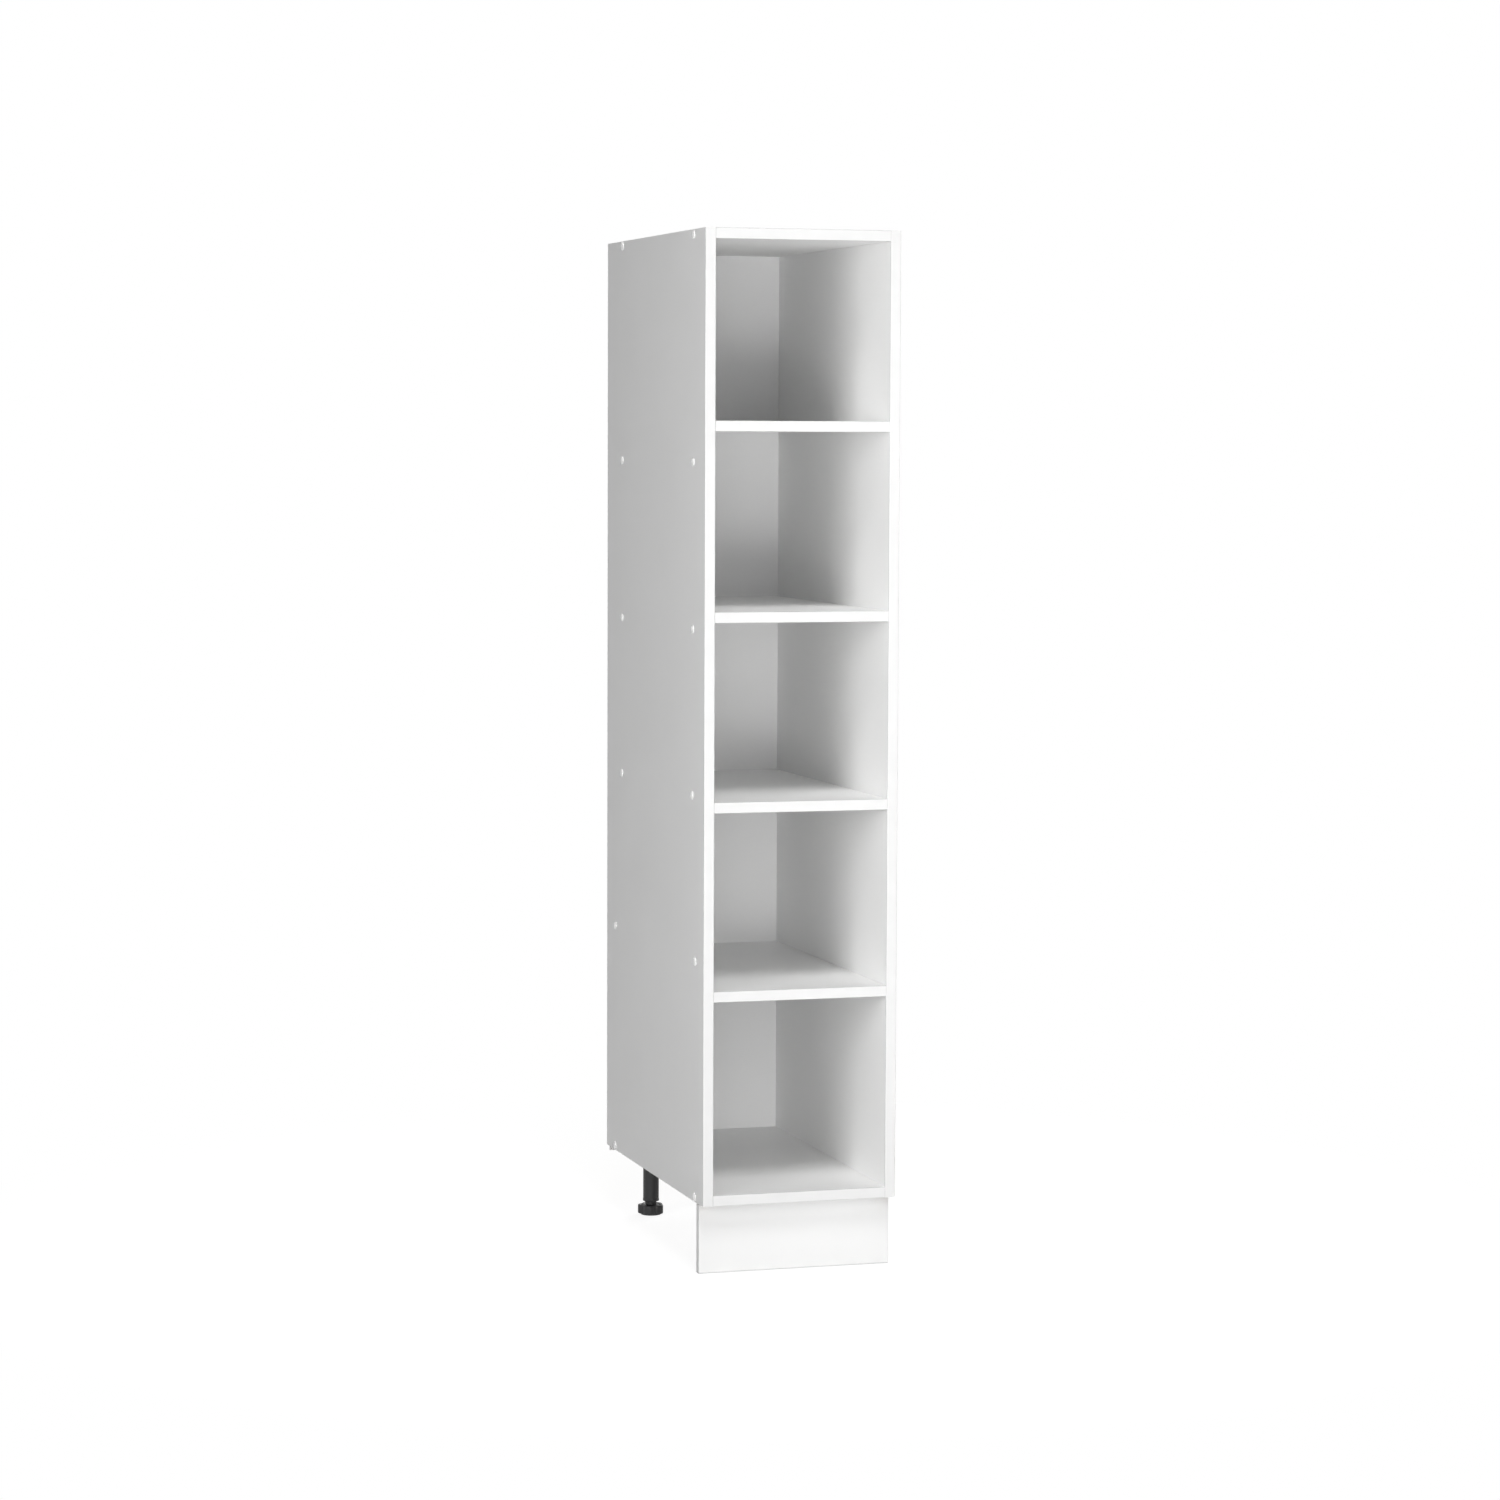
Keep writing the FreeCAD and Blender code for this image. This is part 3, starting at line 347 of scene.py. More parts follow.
def particle_core(finish, light, dark):
    """Colour and height of the chips in a board's bare core."""
    chip = finish.cells(0.0028, "Color", stretch=(1.0, 1.0, 2.6)).axis(0)
    dust = finish.noise(0.0009, detail=3.0, roughness=0.7)
    gap = finish.cells(0.0021, "Distance", stretch=(1.0, 1.0, 2.2))
    wood = (chip * 0.6 + dust * 0.4).spread(0.2, 0.8).between(dark, light)
    pits = gap.spread(0.55, 0.8)
    return pits.between(wood, tint(dark, 0.45)), (1.0 - pits) * 0.0003 + dust * 0.0001


def board_finish(name, settings, cut):
    """Melamine board; cut takes the finish and gives the mask of its bare, sawn faces."""
    finish = Finish(name)
    face = tuple(settings.face)
    paint, gloss, texture = melamine(finish, face, settings.roughness, settings.pearl,
                                     settings.pearl_depth)
    wood, grain = particle_core(finish, tuple(settings.core_light), tuple(settings.core_dark))
    bare = cut(finish)
    return finish.surface(
        Base_Color=bare.between(paint, wood),
        Roughness=bare * 0.45 + gloss * (1.0 - bare),
        Normal=finish.bump(bare * grain + (1.0 - bare) * texture),
        IOR=1.5)


def rear_or_under(finish):
    """Rear edge and lower end of a side panel."""
    rear = finish.facing.axis(1) > TURNED
    under = finish.facing.axis(2) < -TURNED
    return rear | under


def rear_or_ends(finish):
    """Rear edge and both ends of a board between the sides."""
    rear = finish.facing.axis(1) > TURNED
    return rear | (abs(finish.facing.axis(0)) > TURNED)


def strip_finish(settings):
    """Smooth plastic edge strip with soft trimming waves, and rounded arrises made rougher and darkened
    with painted shade.
    """
    finish = Finish("edge_strip")
    face = tuple(settings.face)
    wave = finish.noise(settings.wave, detail=2.0)
    grain = finish.noise(0.0014, detail=2.0)
    # Mask of the arrises turned away from the front: painted shade darkens them here, and their
    # roughness rises
    arris_painted_shade = finish.facing.axis(1).spread(-0.97, -0.75)
    smooth = wave.filled().between(tint(face, 0.985), tint(face, 1.01))
    gloss = (wave * 0.6 + grain * 0.4).filled(settings.roughness - 0.05, settings.roughness + 0.05)
    return finish.surface(
        Base_Color=arris_painted_shade.between(smooth, tint(face, 0.68)),
        Roughness=gloss + arris_painted_shade * 0.2,
        Normal=finish.bump(wave * 0.0001 + grain * 0.00002),
        IOR=1.5)


def back_finish(settings):
    """Thin fibreboard, painted on its front and edges and bare on its rear."""
    finish = Finish("back_board")
    paint = tuple(settings.paint)
    roller = finish.noise(0.0025, detail=3.0, roughness=0.6)
    cloud = finish.noise(0.18, detail=3.0)
    painted = (cloud * 0.6 + roller * 0.4).filled().between(tint(paint, 0.98), tint(paint, 1.012))
    strand = finish.noise(0.0012, detail=4.0, roughness=0.7, stretch=(1.0, 1.0, 0.35))
    clump = finish.noise(0.012, detail=4.0, roughness=0.65)
    stain = finish.noise(0.3, detail=2.0)
    fibres = (strand * 0.5 + clump * 0.3 + stain * 0.2).spread(0.32, 0.68)
    bare = finish.facing.axis(1) > TURNED
    wood = fibres.between(tuple(settings.fibre_dark), tuple(settings.fibre_light))
    return finish.surface(
        Base_Color=bare.between(painted, wood),
        Roughness=bare * 0.3 + roller.filled(0.42, 0.52),
        Normal=finish.bump(bare * strand * 0.00012 + (1.0 - bare) * roller * 0.00004),
        IOR=1.5)


def plinth_finish(settings):
    """Smooth satin plinth with faint scuffs low down, a painted contact shadow along its lower edge and
    painted shade on its ends.
    """
    finish = Finish("plinth_board")
    face = tuple(settings.face)
    cloud = finish.noise(0.2, detail=3.0)
    grain = finish.noise(0.0012, detail=2.0)
    height = finish.spot.axis(2).spread(0.0, 0.03, 1.0, 0.0)
    rubbed = finish.noise(0.006, detail=4.0, roughness=0.7, stretch=(0.25, 1.0, 1.0))
    scuff = rubbed.spread(0.62, 0.75) * height
    # Painted shade: the lowest few millimetres are darkened as a contact shadow against the floor
    foot = finish.spot.axis(2).spread(0.001, 0.003, 1.0, 0.0)
    # Painted shade: the end faces are darkened, as if turned away from the light
    ends = abs(finish.facing.axis(0)) > TURNED
    clean = cloud.filled().between(tint(face, 0.985), tint(face, 1.012))
    return finish.surface(
        # The scuffs are real marks; the lower edge and the ends take painted shade
        Base_Color=(scuff * 0.16 + foot * 0.75 + ends * 0.34).between(clean, tint(face, 0.55)),
        Roughness=grain.filled(settings.roughness - 0.04, settings.roughness + 0.04) + scuff * 0.2,
        Normal=finish.bump(grain * 0.00003),
        IOR=1.5)


def cap_finish(settings):
    """White moulded plastic, a little smoother than the board."""
    finish = Finish("white_plastic")
    face = tuple(settings.face)
    flow = finish.noise(0.004, detail=2.0)
    grain = finish.noise(0.0005, detail=2.0)
    return finish.surface(
        Base_Color=flow.filled().between(tint(face, 0.98), tint(face, 1.01)),
        Roughness=grain.filled(0.08, 0.14),
        Normal=finish.bump(grain * 0.000004 + flow * 0.00001),
        Coat_Weight=0.8,
        Coat_Roughness=0.06,
        IOR=1.5)


def plastic_finish(settings):
    """Black moulded plastic with a fine sparked grain."""
    finish = Finish("black_plastic")
    face = tuple(settings.plastic)
    grain = finish.noise(0.0006, detail=3.0, roughness=0.6)
    flow = finish.noise(0.02, detail=3.0)
    dust = finish.noise(0.0035, detail=5.0, roughness=0.75).spread(0.6, 0.8)
    dust_grey = (0.3, 0.3, 0.3)
    moulded = flow.filled().between(tint(face, 0.85), tint(face, 1.2))
    return finish.surface(
        Base_Color=(dust * 0.08).between(moulded, dust_grey),
        Roughness=(grain * 0.6 + flow * 0.4).filled(0.42, 0.56),
        Normal=finish.bump(grain * 0.00006),
        IOR=1.45)


def rubber_finish(settings):
    """Matte dark rubber."""
    finish = Finish("grey_rubber")
    face = tuple(settings.rubber)
    grain = finish.noise(0.0008, detail=3.0, roughness=0.7)
    smear = finish.noise(0.01, detail=3.0)
    return finish.surface(
        Base_Color=(grain * 0.4 + smear * 0.6).filled().between(tint(face, 0.75), tint(face, 1.25)),
        Roughness=grain.filled(0.72, 0.88),
        Normal=finish.bump(grain * 0.0001),
        IOR=1.5)


def zinc_finish(settings):
    """Bright zinc plate with faint drawn lines and dull spots."""
    finish = Finish("zinc_steel")
    face = tuple(settings.zinc)
    drawn = finish.noise(0.0004, detail=2.0, stretch=(0.1, 1.0, 1.0))
    spots = finish.noise(0.0022, detail=3.0, roughness=0.65)
    return finish.surface(
        Base_Color=spots.spread(0.35, 0.7).between(tint(face, 1.05), tint(face, 0.8)),
        Roughness=(drawn * 0.4 + spots * 0.6).filled(0.22, 0.42),
        Normal=finish.bump(drawn * 0.00002),
        Metallic=1.0)


def cast_finish(settings):
    """Dull die-cast zinc with a grainy skin."""
    finish = Finish("cast_zinc")
    face = tuple(settings.cast)
    skin = finish.noise(0.0008, detail=3.0, roughness=0.7)
    flow = finish.noise(0.004, detail=3.0)
    return finish.surface(
        Base_Color=flow.filled().between(tint(face, 0.8), tint(face, 1.05)),
        Roughness=skin.filled(0.38, 0.55),
        Normal=finish.bump(skin * 0.00006),
        Metallic=1.0)


def beech_finish(settings):
    """Beech with grain and short flecks along the dowels."""
    finish = Finish("beech")
    grain = finish.noise(0.0012, detail=3.0, roughness=0.6, stretch=(0.08, 1.0, 1.0))
    fleck = finish.noise(0.0006, detail=1.0, stretch=(0.25, 1.0, 1.0)).spread(0.6, 0.7)
    light = tuple(settings.beech_light)
    dark = tuple(settings.beech_dark)
    plain = grain.spread(0.35, 0.65).between(tint(dark, 1.15), light)
    return finish.surface(
        Base_Color=(fleck * 0.7).between(plain, dark),
        Roughness=grain.filled(0.55, 0.7),
        Normal=finish.bump(grain * 0.0001),
        IOR=1.45)


def dress(material, *names):
    """Gives CAD nodes a finish."""
    for name in names:
        slots = NODES[name].data.materials
        slots.clear()
        slots.append(material)


# Shapes

def turned(bm, outline, steps, closed=False):
    """Spins an outline of (radius, height) points once round the upright axis."""
    points = [bm.verts.new((radius, 0.0, height)) for radius, height in outline]
    runs = list(zip(points, points[1:])) + ([(points[-1], points[0])] if closed else [])
    lines = [bm.edges.new(run) for run in runs]
    bmesh.ops.spin(bm, geom=points + lines, cent=(0, 0, 0), axis=(0, 0, 1), dvec=(0, 0, 0),
                   angle=2 * math.pi, steps=steps, use_merge=True, use_duplicate=False)
    tidy(bm)


def tidy(bm):
    """Closes seams and poles, and turns all faces outwards."""
    bmesh.ops.remove_doubles(bm, verts=bm.verts, dist=1e-7)
    bmesh.ops.dissolve_degenerate(bm, edges=bm.edges, dist=1e-8)
    bmesh.ops.recalc_face_normals(bm, faces=bm.faces)


def soften(bm, radius, segments, least):
    """Rounds every edge that is sharper than the least angle."""
    sharp = [edge for edge in bm.edges
             if edge.is_manifold and edge.calc_face_angle() > math.radians(least)]
    bmesh.ops.bevel(bm, geom=sharp, offset=radius, offset_type="OFFSET", segments=segments, profile=0.5,
                    affect="EDGES", material=-1, clamp_overlap=True)


def piece(bm, name, material, slot, body, *nodes):
    """Makes a piece that rides on a body in place of CAD nodes."""
    for face in bm.faces:
        face.smooth = True
    mesh = bpy.data.meshes.new(name)
    bm.to_mesh(mesh)
    bm.free()
    mesh.set_sharp_from_angle(angle=CREASE)
    mesh.materials.append(material)
    made = bpy.data.objects.new(name, mesh)
    bpy.context.scene.collection.objects.link(made)
    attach(made, body)
    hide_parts(*nodes)


def copies(bm, turn, places):
    """Puts copies of the whole shape at the places, turned, and takes the first one away."""
    corners = bm.verts[:]
    first = corners + bm.edges[:] + bm.faces[:]
    for spot in places:
        made = bmesh.ops.duplicate(bm, geom=first)["geom"]
        verts = [item for item in made if isinstance(item, bmesh.types.BMVert)]
        bmesh.ops.transform(bm, matrix=Matrix.Translation(spot) @ turn, verts=verts)
    bmesh.ops.delete(bm, geom=corners, context="VERTS")


def crown(settings, stem, reach):
    """Domed crown on a straight rim, and its stem below."""
    bm = bmesh.new()
    radius = settings.crown / 2
    rise = settings.height - settings.rim
    dome = (radius ** 2 + rise ** 2) / (2 * rise)
    steep = math.asin(radius / dome)
    parts = 8
    arc = []
    for step in range(parts + 1):
        tilt = steep * step / parts
        arc.append((dome * math.sin(tilt), settings.height - dome * (1 - math.cos(tilt))))
    turned(bm, arc + [(radius, 0.0), (stem / 2, 0.0), (stem / 2, -reach), (0.0, -reach)], steps=48)
    soften(bm, radius=settings.rim * 0.3, segments=3, least=28.0)
    return bm


def cap_rows(settings, hand):
    """Centres of the cover caps and of the plugs on one side's outer face."""
    low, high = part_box(f"side_panel_{hand}")
    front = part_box(f"side_edge_{hand}")[0].y
    face = low.x if HANDS[hand] < 0 else high.x
    half = span("top_panel", 2) / 2
    upper = (front + settings.upper_front, high.y - settings.upper_rear)
    lower = (front + settings.lower_front, high.y - settings.lower_rear)
    covers = [Vector((face, y, high.z - half)) for y in upper]
    covers += [Vector((face, y, low.z + half)) for y in lower]
    first = low.z + settings.low_plug
    upper_rows = 3
    step = (high.z - settings.high_plug - first) / upper_rows
    plugs = [Vector((face, y, first)) for y in lower]
    for number in range(1, upper_rows + 1):
        plugs += [Vector((face, y, first + step * number)) for y in upper]
    return covers, plugs


def column_tube(settings, low, high):
    """Tube with a bead round each end, standing on the axis."""
    bm = bmesh.new()
    outer = settings.column / 2
    inner = settings.bore / 2
    waist = outer - settings.draft
    bead = settings.bead
    step = settings.draft * 1.5
    turned(bm, [(inner, low), (outer, low), (outer, low + bead), (waist, low + bead + step),
                (waist, high - bead - step), (outer, high - bead), (outer, high), (inner, high)],
           steps=64, closed=True)
    soften(bm, radius=0.0005, segments=2, least=60.0)
    return bm


def lobe_reach(settings, turn):
    """Radius of the foot's outline at an angle from a lobe's middle."""
    centre = (settings.over_lobes - settings.lobe) / 2
    inside = (settings.lobe / 2) ** 2 - (centre * math.sin(turn)) ** 2
    lobe = centre * math.cos(turn) + math.sqrt(inside) if inside > 0 else 0.0
    return max(settings.core / 2, lobe)


def foot_grip(settings, low, high):
    """Lobed grip with rounded rims and a dished top round the stem."""
    bm = bmesh.new()
    outline = bmesh.ops.create_circle(bm, cap_ends=True, radius=1.0, segments=216)["verts"]
    sector = 2 * math.pi / settings.lobes
    for vert in outline:
        around = math.atan2(vert.co.y, vert.co.x) - settings.turn + math.pi / 2
        away = (around + sector / 2) % sector - sector / 2
        vert.co *= lobe_reach(settings, away)
    passes = 2
    for _ in range(passes):
        bmesh.ops.smooth_vert(bm, verts=outline, factor=0.5, use_axis_x=True, use_axis_y=True,
                              use_axis_z=False)
    grown = bmesh.ops.extrude_face_region(bm, geom=bm.faces[:])["geom"]
    raised = [item for item in grown if isinstance(item, bmesh.types.BMVert)]
    bmesh.ops.translate(bm, vec=(0, 0, high - low), verts=raised)
    bmesh.ops.translate(bm, vec=(0, 0, low), verts=bm.verts)
    tidy(bm)
    soften(bm, radius=settings.rim, segments=4, least=60.0)
    top = max(bm.faces, key=lambda face: face.calc_center_median().z + face.calc_area())
    lip = 0.0022
    dish = 0.0008
    bmesh.ops.inset_region(bm, faces=[top], thickness=lip, depth=0.0)
    bmesh.ops.inset_region(bm, faces=[top], thickness=dish, depth=-dish)
    return bm


def threaded_stem(settings, low, shoulder, high, root):
    """Stem with a coarse thread, a chamfered end and its root below."""
    bm = bmesh.new()
    play = 0.0003
    chamfer = 0.0012
    run_in = 0.0006
    run_out = 0.0015
    sunk = 0.0004
    per_turn = 36
    crest = settings.bore / 2 - play
    core = crest - settings.thread
    turned(bm, [(0.0, low), (root, low), (root, shoulder), (core, shoulder), (core, high - chamfer),
                (core - chamfer, high), (0.0, high)], steps=48)
    # Half the ridge's width at its foot and at its tip
    foot = settings.pitch * 0.34
    tip = settings.pitch * 0.14
    start = shoulder + foot + run_in
    turns = (high - run_out - foot - start) / settings.pitch
    section = [(core - sunk, start - foot), (crest, start - tip), (crest, start + tip),
               (core - sunk, start + foot)]
    points = [bm.verts.new((radius, 0.0, height)) for radius, height in section]
    ridge = bm.faces.new(points)
    steps = int(turns * per_turn)
    bmesh.ops.spin(bm, geom=[ridge], cent=(0, 0, 0), axis=(0, 0, 1),
                   dvec=(0, 0, settings.pitch * turns / steps), angle=2 * math.pi * turns, steps=steps,
                   use_merge=False, use_duplicate=False)
    bmesh.ops.recalc_face_normals(bm, faces=bm.faces)
    return bm


def foot_sole(radius, thickness, pin, high):
    """Round pad with ring ribs under its sole and a pin above."""
    bm = bmesh.new()
    groove = 0.0005
    slope = 0.0004
    rib = 0.0010
    border = 0.0018
    lower = 0.0006
    upper = 0.0003
    ring_places = (0.30, 0.54, 0.78)
    outline = [(0.0, groove)]
    for part in ring_places:
        ring = radius * part
        outline += [(ring - rib - slope, groove), (ring - rib, 0.0), (ring + rib, 0.0),
                    (ring + rib + slope, groove)]
    outline += [(radius - border - slope, groove), (radius - border, 0.0), (radius - lower, 0.0),
                (radius, lower), (radius, thickness - upper), (radius - upper, thickness),
                (pin, thickness), (pin, high - lower), (pin - lower, high), (0.0, high)]
    turned(bm, outline, steps=72)
    return bm


# Operators, one for each piece or group of like pieces

class SHELFUNIT_OT_boards(bpy.types.Operator):
    """Gives sides, top, bottom and shelves their melamine and bare core"""
    bl_idname = "shelf_unit.boards"
    bl_label = "Finish boards"

    def execute(self, context):
        settings = context.scene.shelf_boards
        upright = board_finish("side_board", settings, rear_or_under)
        dress(upright, "side_panel_left", "side_panel_right")
        flat = board_finish("shelf_board", settings, rear_or_ends)
        dress(flat, "top_panel", "bottom_panel", *[f"shelf_{number}" for number in SHELVES])
        return {"FINISHED"}


class SHELFUNIT_OT_edges(bpy.types.Operator):
    """Gives the front edges their smooth strip"""
    bl_idname = "shelf_unit.edges"
    bl_label = "Finish edge strips"

    def execute(self, context):
        strip = strip_finish(context.scene.shelf_edges)
        dress(strip, "side_edge_left", "side_edge_right", "top_edge", "bottom_edge",
              *[f"shelf_edge_{number}" for number in SHELVES])
        return {"FINISHED"}


class SHELFUNIT_OT_back(bpy.types.Operator):
    """Paints the back's front and leaves its rear bare"""
    bl_idname = "shelf_unit.back"
    bl_label = "Finish back"

    def execute(self, context):
        dress(back_finish(context.scene.shelf_back), "back_panel")
        return {"FINISHED"}


class SHELFUNIT_OT_plinth(bpy.types.Operator):
    """Gives the plinth board its satin face"""
    bl_idname = "shelf_unit.plinth"
    bl_label = "Finish plinth"

    def execute(self, context):
        dress(plinth_finish(context.scene.shelf_plinth), "plinth_board")
        return {"FINISHED"}


class SHELFUNIT_OT_caps(bpy.types.Operator):
    """Makes the cover caps and the hole plugs on both sides"""
    bl_idname = "shelf_unit.caps"
    bl_label = "Make caps and plugs"

    def execute(self, context):
        settings = context.scene.shelf_caps
        plastic = cap_finish(settings)
        for hand, sign in HANDS.items():
            turn = Matrix.Rotation(sign * math.pi / 2, 4, "Y")
            covers, plugs = cap_rows(settings, hand)
            bm = crown(settings, settings.cover_stem, settings.cover_reach)
            copies(bm, turn, covers)
            piece(bm, f"cover_caps_{hand}", plastic, "white_plastic", "carcass", f"screw_caps_{hand}")
            bm = crown(settings, settings.plug_stem, settings.plug_reach)
            copies(bm, turn, plugs)
            piece(bm, f"hole_plugs_{hand}", plastic, "white_plastic", "carcass", f"joining_plugs_{hand}")
        return {"FINISHED"}


class SHELFUNIT_OT_legs(bpy.types.Operator):
    """Makes the columns, lobed feet, threads and pads, and finishes plates and clips"""
    bl_idname = "shelf_unit.legs"
    bl_label = "Make legs"

    def execute(self, context):
        settings = context.scene.shelf_legs
        plastic = plastic_finish(settings)
        rubber = rubber_finish(settings)
        for leg in LEGS:
            axis = middle(f"leg_column_{leg}")
            stand = Matrix.Translation((axis.x, axis.y, 0.0))
            low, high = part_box(f"leg_column_{leg}")
            bm = column_tube(settings, low.z, high.z)
            bmesh.ops.transform(bm, matrix=stand, verts=bm.verts)
            piece(bm, f"leg_tube_{leg}", plastic, "black_plastic", "carcass", f"leg_column_{leg}")
            low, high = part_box(f"foot_knob_{leg}")
            bm = foot_grip(settings, low.z, high.z)
            bmesh.ops.transform(bm, matrix=stand, verts=bm.verts)
            piece(bm, f"foot_grip_{leg}", plastic, "black_plastic", f"knob_{leg}", f"foot_knob_{leg}")
            shoulder = high.z
            low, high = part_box(f"foot_stem_{leg}")
            bm = threaded_stem(settings, low.z, shoulder, high.z, settings.root / 2)
            bmesh.ops.transform(bm, matrix=stand, verts=bm.verts)
            piece(bm, f"foot_thread_{leg}", plastic, "black_plastic", f"knob_{leg}", f"foot_stem_{leg}")
            low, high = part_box(f"foot_pad_{leg}")
            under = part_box(f"foot_knob_{leg}")[0].z
            bm = foot_sole((high.x - low.x) / 2, under, settings.pin / 2, high.z)
            bmesh.ops.transform(bm, matrix=stand, verts=bm.verts)
            piece(bm, f"foot_sole_{leg}", rubber, "grey_rubber", f"pad_{leg}", f"foot_pad_{leg}")
        dress(plastic, "plinth_clip_left", "plinth_clip_right", *[f"leg_plate_{leg}" for leg in LEGS])
        return {"FINISHED"}


class SHELFUNIT_OT_fasteners(bpy.types.Operator):
    """Gives screws, nails, bolts, cams and dowels their metal and wood"""
    bl_idname = "shelf_unit.fasteners"
    bl_label = "Finish fasteners"

    def execute(self, context):
        settings = context.scene.shelf_fasteners
        dress(zinc_finish(settings), "carcass_screws_left", "carcass_screws_right", "cam_bolts",
              "back_panel_nails", "leg_plate_screws", "plinth_clip_screws")
        dress(cast_finish(settings), "cam_locks")
        dress(beech_finish(settings), "panel_dowels", "shelf_dowels")
        return {"FINISHED"}


def soft_lamp(name, spot, aim, width, height, watts, beam=math.pi):
    """Rectangular soft lamp that faces a point."""
    data = bpy.data.lights.new(name, "AREA")
    data.shape = "RECTANGLE"
    data.size = width
    data.size_y = height
    data.energy = watts
    data.spread = beam
    lamp = bpy.data.objects.new(name, data)
    lamp.location = spot
    lamp.rotation_euler = (Vector(aim) - Vector(spot)).to_track_quat("-Z", "Y").to_euler()
    bpy.context.scene.collection.objects.link(lamp)


def white_sky(strength):
    """Even sky light, seen as plain white by the camera and in reflections."""
    world = bpy.data.worlds.new("studio")
    world.use_nodes = True
    world.node_tree.nodes.clear()
    sky = Signal(world.node_tree)
    seen = seen_rays(sky)
    even = sky.node("ShaderNodeBackground", None, {"Color": WHITE, "Strength": strength})
    white = sky.node("ShaderNodeBackground", None, {"Color": WHITE, "Strength": 1.0})
    both = sky.node("ShaderNodeMixShader", None, {0: seen, 1: even, 2: white})
    sky.node("ShaderNodeOutputWorld", None, {"Surface": both})
    bpy.context.scene.world = world


def seen_rays(tree):
    """1 for rays from the camera, a mirror or a glass."""
    paths = [tree.node("ShaderNodeLightPath", output=f"Is {kind} Ray")
             for kind in ("Camera", "Glossy", "Transmission")]
    return paths[0] | paths[1] | paths[2]


def floor_finish(settings):
    """Pale floor that keeps the unit's shadow, turns white further away and is clear from below."""
    near = 0.5
    far = 1.3
    material = bpy.data.materials.new("studio_floor")
    material.use_nodes = True
    material.node_tree.nodes.clear()
    tree = Signal(material.node_tree)
    spot = tree.node("ShaderNodeTexCoord", output="Object")
    away = tree.node("ShaderNodeVectorMath", {"operation": "LENGTH"}, {0: spot}, output="Value")
    matte = tree.node("ShaderNodeBsdfDiffuse", None, {"Color": tuple(settings.floor)})
    white = tree.node("ShaderNodeEmission", None, {"Color": WHITE, "Strength": 1.0})
    glow = tree.node("ShaderNodeEmission", None,
                     {"Color": WHITE, "Strength": 1.0 - settings.shadow * settings.lit})
    catch = tree.node("ShaderNodeBsdfDiffuse", None,
                      {"Color": tint(tuple(settings.floor), settings.shadow)})
    shaded = tree.node("ShaderNodeAddShader", None, {0: glow, 1: catch})
    seen = tree.node("ShaderNodeMixShader", None, {0: away.spread(near, far), 1: shaded, 2: white})
    both = tree.node("ShaderNodeMixShader", None, {0: seen_rays(tree), 1: matte, 2: seen})
    below = tree.node("ShaderNodeNewGeometry", output="Backfacing")
    clear = tree.node("ShaderNodeBsdfTransparent")
    one_sided = tree.node("ShaderNodeMixShader", None, {0: below, 1: both, 2: clear})
    tree.node("ShaderNodeOutputMaterial", None, {"Surface": one_sided})
    return material


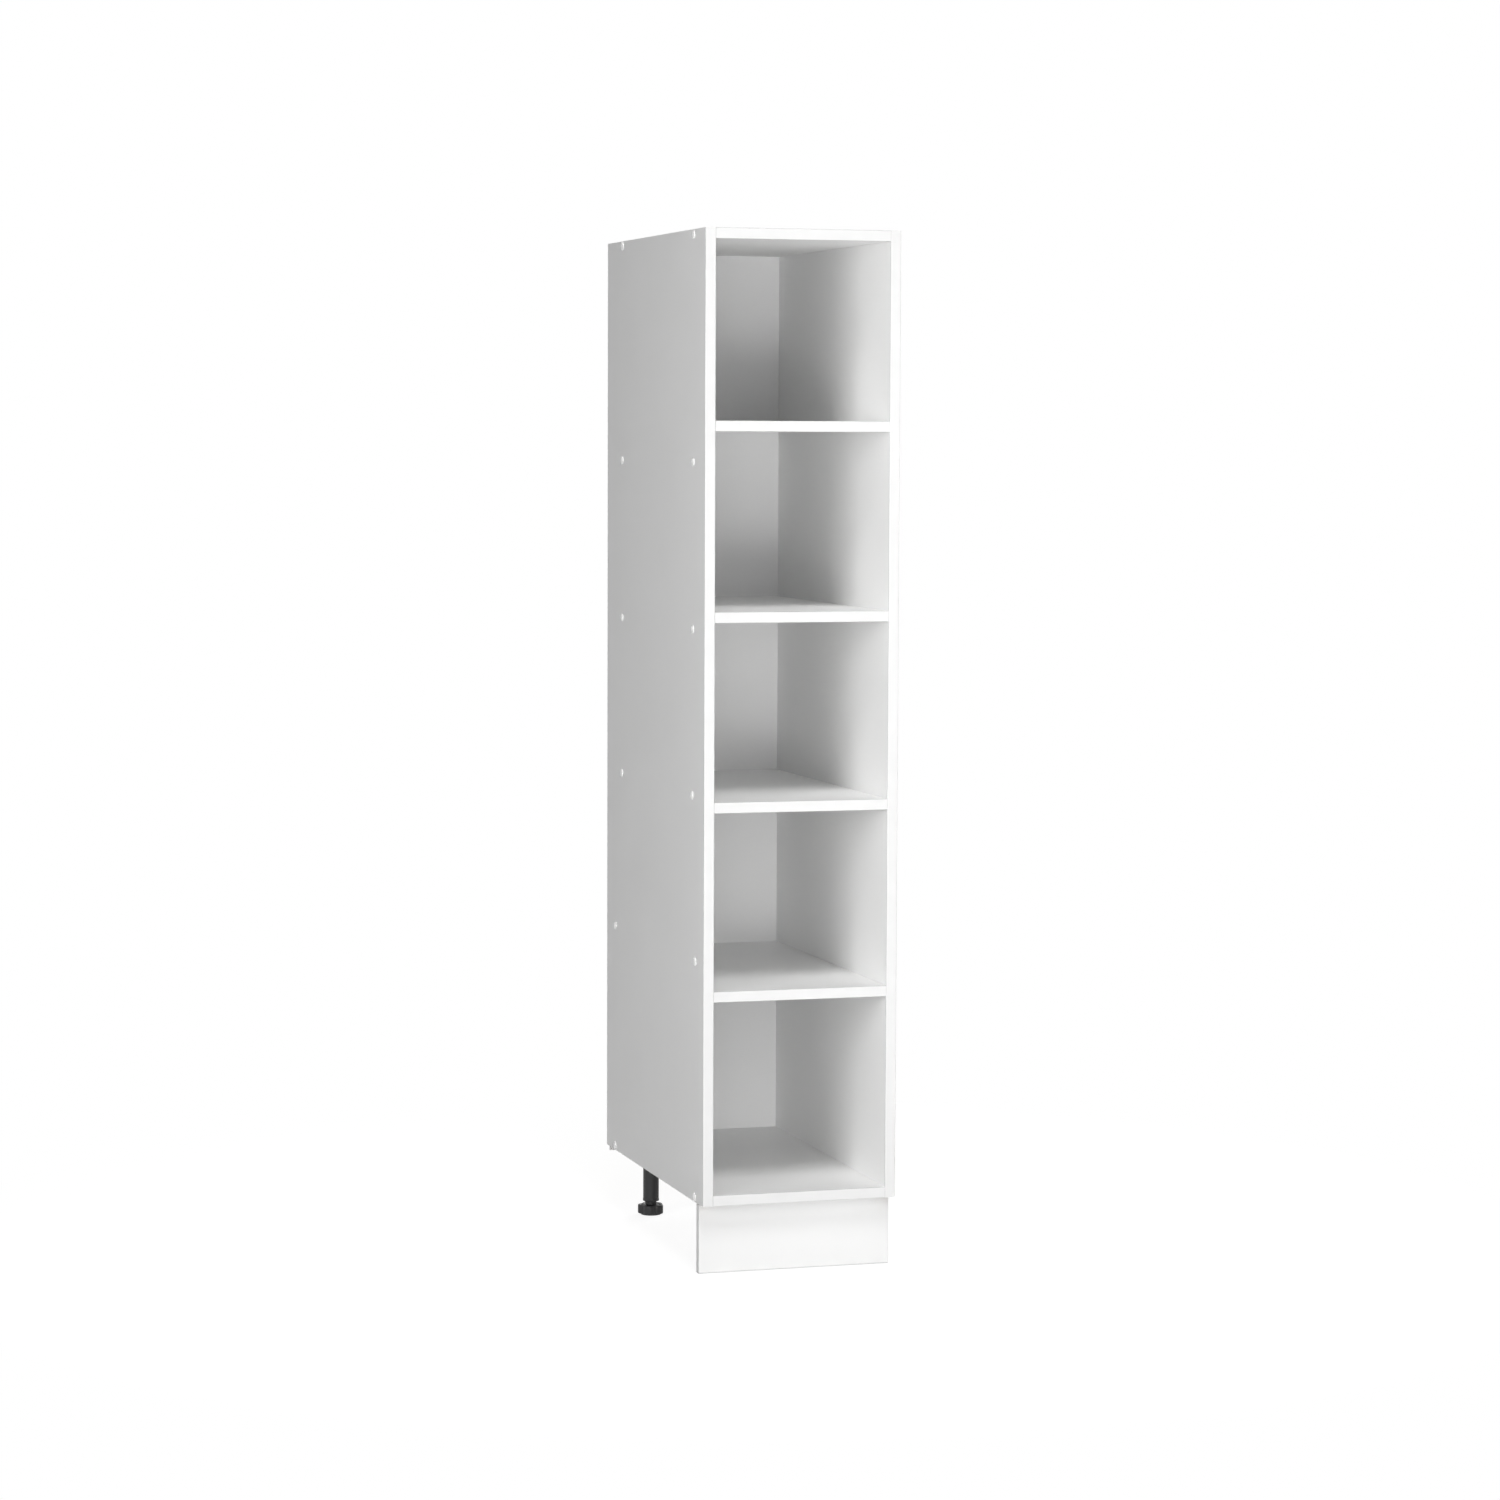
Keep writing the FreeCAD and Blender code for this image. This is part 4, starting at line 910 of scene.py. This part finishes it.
class SHELFUNIT_OT_stage(bpy.types.Operator):
    """Sets up the floor, the lamps, the white surroundings and the camera"""
    bl_idname = "shelf_unit.stage"
    bl_label = "Set stage"

    def execute(self, context):
        settings = context.scene.shelf_stage
        scene = context.scene
        scene.view_settings.view_transform = "Standard"
        white_sky(settings.sky)
        half_floor = 12.0
        floor_level = -0.0002
        bm = bmesh.new()
        bmesh.ops.create_grid(bm, x_segments=1, y_segments=1, size=half_floor,
                              matrix=Matrix.Translation((0.0, 0.0, floor_level)))
        mesh = bpy.data.meshes.new("floor")
        bm.to_mesh(mesh)
        bm.free()
        mesh.materials.append(floor_finish(settings))
        floor = bpy.data.objects.new("floor", mesh)
        scene.collection.objects.link(floor)
        soft_lamp("low_lamp", (-1.2, -4.4, 0.3), CENTRE, 1.0, 0.5, settings.low_lamp)
        soft_lamp("front_lamp", (-0.2, -2.6, 0.7), CENTRE, 0.8, 1.4, settings.front_lamp)
        soft_lamp("left_lamp", (-2.7, -2.25, 1.5), CENTRE, 1.2, 1.2, settings.left_lamp)
        soft_lamp("high_lamp", (-0.4, -2.6, 4.2), CENTRE, 1.6, 1.2, settings.high_lamp)
        right_front = (0.134, -0.33, 0.85)
        soft_lamp("strip_lamp", (-0.5, -0.9, 0.85), right_front, 0.25, 1.5, settings.strip_lamp,
                  settings.beam)
        soft_lamp("rear_lamp", (2.9, 2.7, 1.8), CENTRE, 2.5, 2.0, settings.rear_lamp)
        data = bpy.data.cameras.new("camera")
        data.sensor_width = 36.0
        data.lens = settings.lens
        data.clip_end = 100.0
        camera = bpy.data.objects.new("camera", data)
        level = math.pi / 2
        turn = (Matrix.Rotation(-settings.yaw, 4, "Z") @ Matrix.Rotation(level + settings.pitch, 4, "X")
                @ Matrix.Rotation(settings.roll, 4, "Z"))
        camera.matrix_world = Matrix.Translation(settings.eye) @ turn
        scene.collection.objects.link(camera)
        scene.camera = camera
        return {"FINISHED"}


class SHELFUNIT_PT_panel(bpy.types.Panel):
    """Lists the unit's pieces with their sizes and colours"""
    bl_idname = "SHELFUNIT_PT_panel"
    bl_label = "Shelf unit"
    bl_space_type = "VIEW_3D"
    bl_region_type = "UI"
    bl_category = "Shelf unit"

    def draw(self, context):
        for name, (group, operator) in GROUPS.items():
            box = self.layout.box()
            box.operator(operator.bl_idname)
            settings = getattr(context.scene, name)
            for item in group.__annotations__:
                box.prop(settings, item)


GROUPS = {
    "shelf_boards": (BoardSettings, SHELFUNIT_OT_boards),
    "shelf_edges": (EdgeSettings, SHELFUNIT_OT_edges),
    "shelf_back": (BackSettings, SHELFUNIT_OT_back),
    "shelf_plinth": (PlinthSettings, SHELFUNIT_OT_plinth),
    "shelf_caps": (CapSettings, SHELFUNIT_OT_caps),
    "shelf_legs": (LegSettings, SHELFUNIT_OT_legs),
    "shelf_fasteners": (FastenerSettings, SHELFUNIT_OT_fasteners),
    "shelf_stage": (StageSettings, SHELFUNIT_OT_stage),
}


def register():
    for name, (group, operator) in GROUPS.items():
        bpy.utils.register_class(group)
        bpy.utils.register_class(operator)
        setattr(bpy.types.Scene, name, PointerProperty(type=group))
    bpy.utils.register_class(SHELFUNIT_PT_panel)


def unregister():
    bpy.utils.unregister_class(SHELFUNIT_PT_panel)
    for name, (group, operator) in GROUPS.items():
        delattr(bpy.types.Scene, name)
        bpy.utils.unregister_class(operator)
        bpy.utils.unregister_class(group)


def main():
    register()
    bpy.ops.shelf_unit.boards()
    bpy.ops.shelf_unit.edges()
    bpy.ops.shelf_unit.back()
    bpy.ops.shelf_unit.plinth()
    bpy.ops.shelf_unit.caps()
    bpy.ops.shelf_unit.legs()
    bpy.ops.shelf_unit.fasteners()
    bpy.ops.shelf_unit.stage()


if __name__ == "__main__":
    main()
